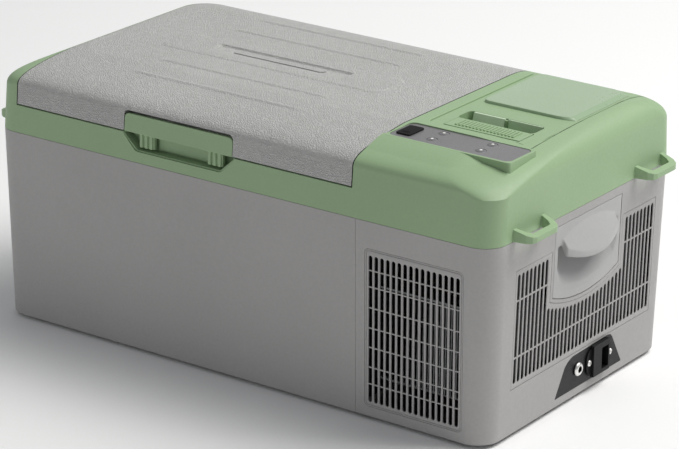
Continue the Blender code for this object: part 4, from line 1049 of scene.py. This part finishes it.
def make_controls():
    usb_low, usb_high, usb_front, usb_back = USB_MOUTH
    panel = plan_slab("panel_plate", PANEL, 0, PANEL_TOP - 0.0013, PANEL_TOP, PANEL_RADIUS, 12, 0.0003)
    holes = [cylinder("hole", 0.00515, (x, y, 0.25), (x, y, 0.27), 40) for x, y in BUTTONS.values()]
    cut(panel, plan_slab("usb", USB_MOUTH, 0, 0.25, 0.27), *holes)
    dress(shade(panel), "cabinet", "panel_grey", "control_panel")

    bodies = {"power": "power_button", "set": "set_button", "minus": "minus_button", "plus": "plus_button"}
    dome = [(0.0002, 0.0009), (0.0012, 0.00083), (0.0022, 0.00066), (0.0032, 0.00042), (0.0040, 0.00018)]
    dome += [(0.0046, -0.0001), (0.0049, -0.0003), (0.0050, -0.0006), (0.0050, -0.0060)]
    # Each cap's small mark glows faintly in the lamp lens material: painted light on the caps.
    mark = [(0.0001, 0.00112), (0.0007, 0.00108), (0.0013, 0.00096), (0.0014, 0.00080), (0.0014, 0.0004)]
    for name, (x, y) in BUTTONS.items():
        body = bodies[name.split("_")[1]]
        dress(shade(turned(name + "_cap", dome, (x, y, PANEL_TOP))), body, "panel_grey", name)
        dress(shade(turned(name + "_mark", mark, (x, y, PANEL_TOP))), body, "lamp_lens")

    cover_low = (usb_low - 0.0022, usb_front - 0.0028, PANEL_TOP + GAP)
    cover_high = (usb_high + 0.0022, usb_back + 0.0028, PANEL_TOP + 0.0015)
    cover = slab("usb_flap_soft", cover_low, cover_high, 0.0028, 6, 0.0005, 0.0002)
    ridges = []
    for number in range(3):
        y = usb_front + 0.0010 + 0.0016 * number
        ridge_low = (usb_low + 0.0015, y, PANEL_TOP + 0.0012)
        ridge_high = (usb_high - 0.0015, y + 0.0007, PANEL_TOP + 0.0017)
        ridges.append(slab("ridge", ridge_low, ridge_high, 0.0003, 2, 0.0002))
    merge(cover, *ridges)
    dress(shade(cover), "usb_flap", "black_rubber", "usb_cover")


def make_phone_flap():
    """The ribbed flap in front of the phone slot, with its pivot rod."""
    low_x, high_x, low_y, high_y = FLAP
    low = (low_x + 0.0005, low_y + 0.0012, 0.2561)
    flap = slab("phone_flap_ribbed", low, (high_x - 0.0005, high_y - 0.0008, 0.2590), 0.0012, 4, 0.0004)
    ribs = []
    for number in range(17):
        x = 0.1728 + number * 0.0038
        rib_low = (x - 0.0011, low_y + 0.0050, 0.2580)
        ribs.append(slab("rib", rib_low, (x + 0.0011, high_y - 0.0045, 0.2601), 0.0006, 3, 0.0002))
    pivot_y, pivot_z = FLAP_PIVOT
    rod = cylinder("rod", 0.0010, (low_x - 0.0016, pivot_y, pivot_z), (high_x + 0.0016, pivot_y, pivot_z))
    dress(shade(merge(flap, rod, *ribs)), "phone_rest", "green_trim", "phone_flap")


def make_painted_shade_screens():
    """Painted shade: a dark sheet behind the end slots and dark linings against the cooling compartment's
    inner wall and inside the cover.
    """
    # A near-black sheet just inside the end slots: painted shade behind them.
    shade_screen = keep(outer_form("end_shade_screen", 0.0050), end_prism("region", end_grille_outline(-0.0010)))
    cut(shade_screen, outer_form("inside", 0.0056))
    dress(shade(shade_screen), "cabinet", "black_plastic")
    # Near-black sheets against the compartment's inner wall and inside the cover: painted shade behind the
    # side grilles.
    low_x, high_x, low_z, high_z = FRONT_GRILLE
    wall_low, wall_high = (COVER_SPLIT + 0.0006, -0.150, 0.012), (COVER_SPLIT + 0.0012, 0.150, 0.188)
    wall = slab("wall_shade_lining", wall_low, wall_high, 0.0002, 2)
    dress(shade(wall), "cabinet", "black_rubber")
    region = cross_slab("region", COVER_SPLIT + 0.004, FAR_X, 0.012, 0.190)
    shade_lining = keep(outer_form("cover_shade_lining", WALL + 0.0003), region)
    openings = [
        slab("front", (low_x - 0.001, -0.17, low_z - 0.001), (high_x + 0.001, -0.14, high_z + 0.001)),
        slab("back", (low_x - 0.001, 0.14, low_z - 0.001), (high_x + 0.001, 0.17, high_z + 0.001)),
        slab("end", (0.2600, -0.150, 0.0), (0.30, 0.150, 0.2)),
    ]
    cut(shade_lining, outer_form("hollow", WALL + 0.0007), *openings)
    dress(shade(shade_lining), "cabinet", "black_rubber")


def make_inlet():
    face = 0.2823
    ring = [(0.0048, 0.0), (0.0062, 0.0), (0.0065, 0.0003), (0.0065, 0.0012), (0.0062, 0.0017)]
    ring += [(0.0054, 0.0025), (0.0044, 0.0030), (0.0035, 0.0029), (0.0030, 0.0023), (0.0030, 0.0006)]
    ring += [(0.0048, 0.0002)]
    nut = turned("jack_ring", [*ring, ring[0]], (face, *JACK), "X")
    bm = bmesh.new()
    bm.from_mesh(nut.data)
    ends = [f for f in bm.faces if len(f.verts) > 4]
    bmesh.ops.delete(bm, geom=ends, context="FACES")
    bmesh.ops.remove_doubles(bm, verts=bm.verts, dist=1e-6)
    bm.to_mesh(nut.data)
    bm.free()
    dress(shade(nut, 50), "cabinet", "bright_metal", "jack_nut")

    screw_z = 0.0303
    start = face + 0.0014
    for y, name in ((0.0165, "socket_screw_front"), (0.0535, "socket_screw_back")):
        head = [(0.0013, -0.0013), (0.0013, 0.0), (0.0030, 0.0), (0.0030, 0.0004), (0.0026, 0.0010)]
        head += [(0.0017, 0.00135), (0.0004, 0.0014)]
        screw = turned(name + "_head", head, (start, y, screw_z), "X")
        for wide, tall in ((0.0016, 0.0004), (0.0004, 0.0016)):
            low = (start + 0.0006, y - wide, screw_z - tall)
            cut(screw, slab("cross", low, (start + 0.003, y + wide, screw_z + tall)))
        dress(shade(screw), "cabinet", "bright_metal", name)


# ------------------------------------------------------ carried-over CAD


def finish_cad_nodes():
    """Every CAD node still shown takes its slot's material, and softer edges where it has room for them."""
    slots = {row["node"]: row["material_slot"] for row in frame["record"]["subparts"]}
    bevels = {
        "catch_plate": 0.0004,
        "dc_socket": 0.0003,
        "condenser_fins": 0.0001,
    }
    for name, node in frame["nodes"].items():
        if node.hide_render:
            continue
        node.data.materials.clear()
        node.data.materials.append(SURFACES[slots[name]])
        if name in bevels:
            weld = node.modifiers.new("Weld", "WELD")
            weld.merge_threshold = 1e-5
            bevel = node.modifiers.new("Bevel", "BEVEL")
            bevel.width = bevels[name]
            bevel.segments = 2
            bevel.limit_method = "ANGLE"
            bevel.angle_limit = math.radians(50)
            bevel.use_clamp_overlap = False


# ----------------------------------------------------------------- stage


def area_light(name, place, size, power, colour=(1, 1, 1)):
    data = bpy.data.lights.new(name, "AREA")
    data.shape = "RECTANGLE"
    data.size, data.size_y = size
    data.energy = power
    data.color = colour
    lamp = bpy.data.objects.new(name, data)
    bpy.context.scene.collection.objects.link(lamp)
    lamp.location = place
    lamp.rotation_mode = "QUATERNION"
    lamp.rotation_quaternion = (Vector((0, 0, 0.15)) - Vector(place)).to_track_quat("-Z", "Y")


def make_stage():
    floor = slab("floor", (-30, -30, -0.02), (30, 30, -0.0002), 0.5, 4)
    material = bpy.data.materials.new("pale_floor")
    material.use_nodes = True
    tree = material.node_tree
    shader = tree.nodes["Principled BSDF"]
    place = add(tree, "TexCoord").outputs["Object"]
    cloud = add(tree, "TexNoise", {"Vector": place, "Scale": 2.0, "Detail": 3.0}).outputs["Fac"]
    paint = add(
        tree,
        "Mix",
        {"Factor": cloud, "A": (0.97, 0.97, 0.97, 1), "B": (0.99, 0.99, 0.99, 1)},
        data_type="RGBA",
    )
    tree.links.new(paint.outputs["Result"], shader.inputs["Base Color"])
    shader.inputs["Roughness"].default_value = 0.8
    floor.data.materials.append(material)

    world = bpy.data.worlds.new("studio")
    world.use_nodes = True
    world.node_tree.nodes["Background"].inputs["Color"].default_value = (0.95, 0.97, 1.0, 1)
    world.node_tree.nodes["Background"].inputs["Strength"].default_value = 0.262
    bpy.context.scene.world = world
    area_light("key", (1.5, 1.4, 3.2), (2.4, 2.4), 130, (1.0, 0.99, 0.97))
    area_light("fill", (-2.2, -2.6, 0.9), (2.0, 1.4), 7)
    area_light("back_sheet", (-2.6, 3.6, 1.9), (4.5, 1.6), 15, (1.0, 1.0, 1.0))
    bpy.context.scene.view_settings.view_transform = "Standard"


def make_camera():
    azimuth, elevation, roll = (math.radians(a) for a in (35.26269726, 19.93460195, 0.62301297))
    level = math.cos(elevation)
    back = Vector((math.sin(azimuth) * level, -math.cos(azimuth) * level, math.sin(elevation)))
    right = Vector((math.cos(azimuth), math.sin(azimuth), 0))
    up = back.cross(right)
    turned_right = right * math.cos(roll) + up * math.sin(roll)
    turned_up = up * math.cos(roll) - right * math.sin(roll)
    data = bpy.data.cameras.new("camera")
    data.sensor_width = 36
    data.lens = 169.24
    data.shift_x = 0.012534
    data.shift_y = -0.029696
    data.clip_start = 0.1
    camera = bpy.data.objects.new("camera", data)
    bpy.context.scene.collection.objects.link(camera)
    place = Vector((0, 0, 0.13)) + back * 3.069633
    columns = Matrix((turned_right, turned_up, back)).transposed().to_4x4()
    camera.matrix_world = Matrix.Translation(place) @ columns
    bpy.context.scene.camera = camera


make_body()
make_side_grille("front_grille_bars", -1, FRONT_RIBS)
make_side_grille("back_grille_bars", 1, BACK_RIBS)
make_end_grille()
make_handles()
make_top_frame()
make_lid()
make_latch()
make_lining()
make_controls()
make_phone_flap()
make_painted_shade_screens()
make_inlet()
finish_cad_nodes()
make_stage()
make_camera()
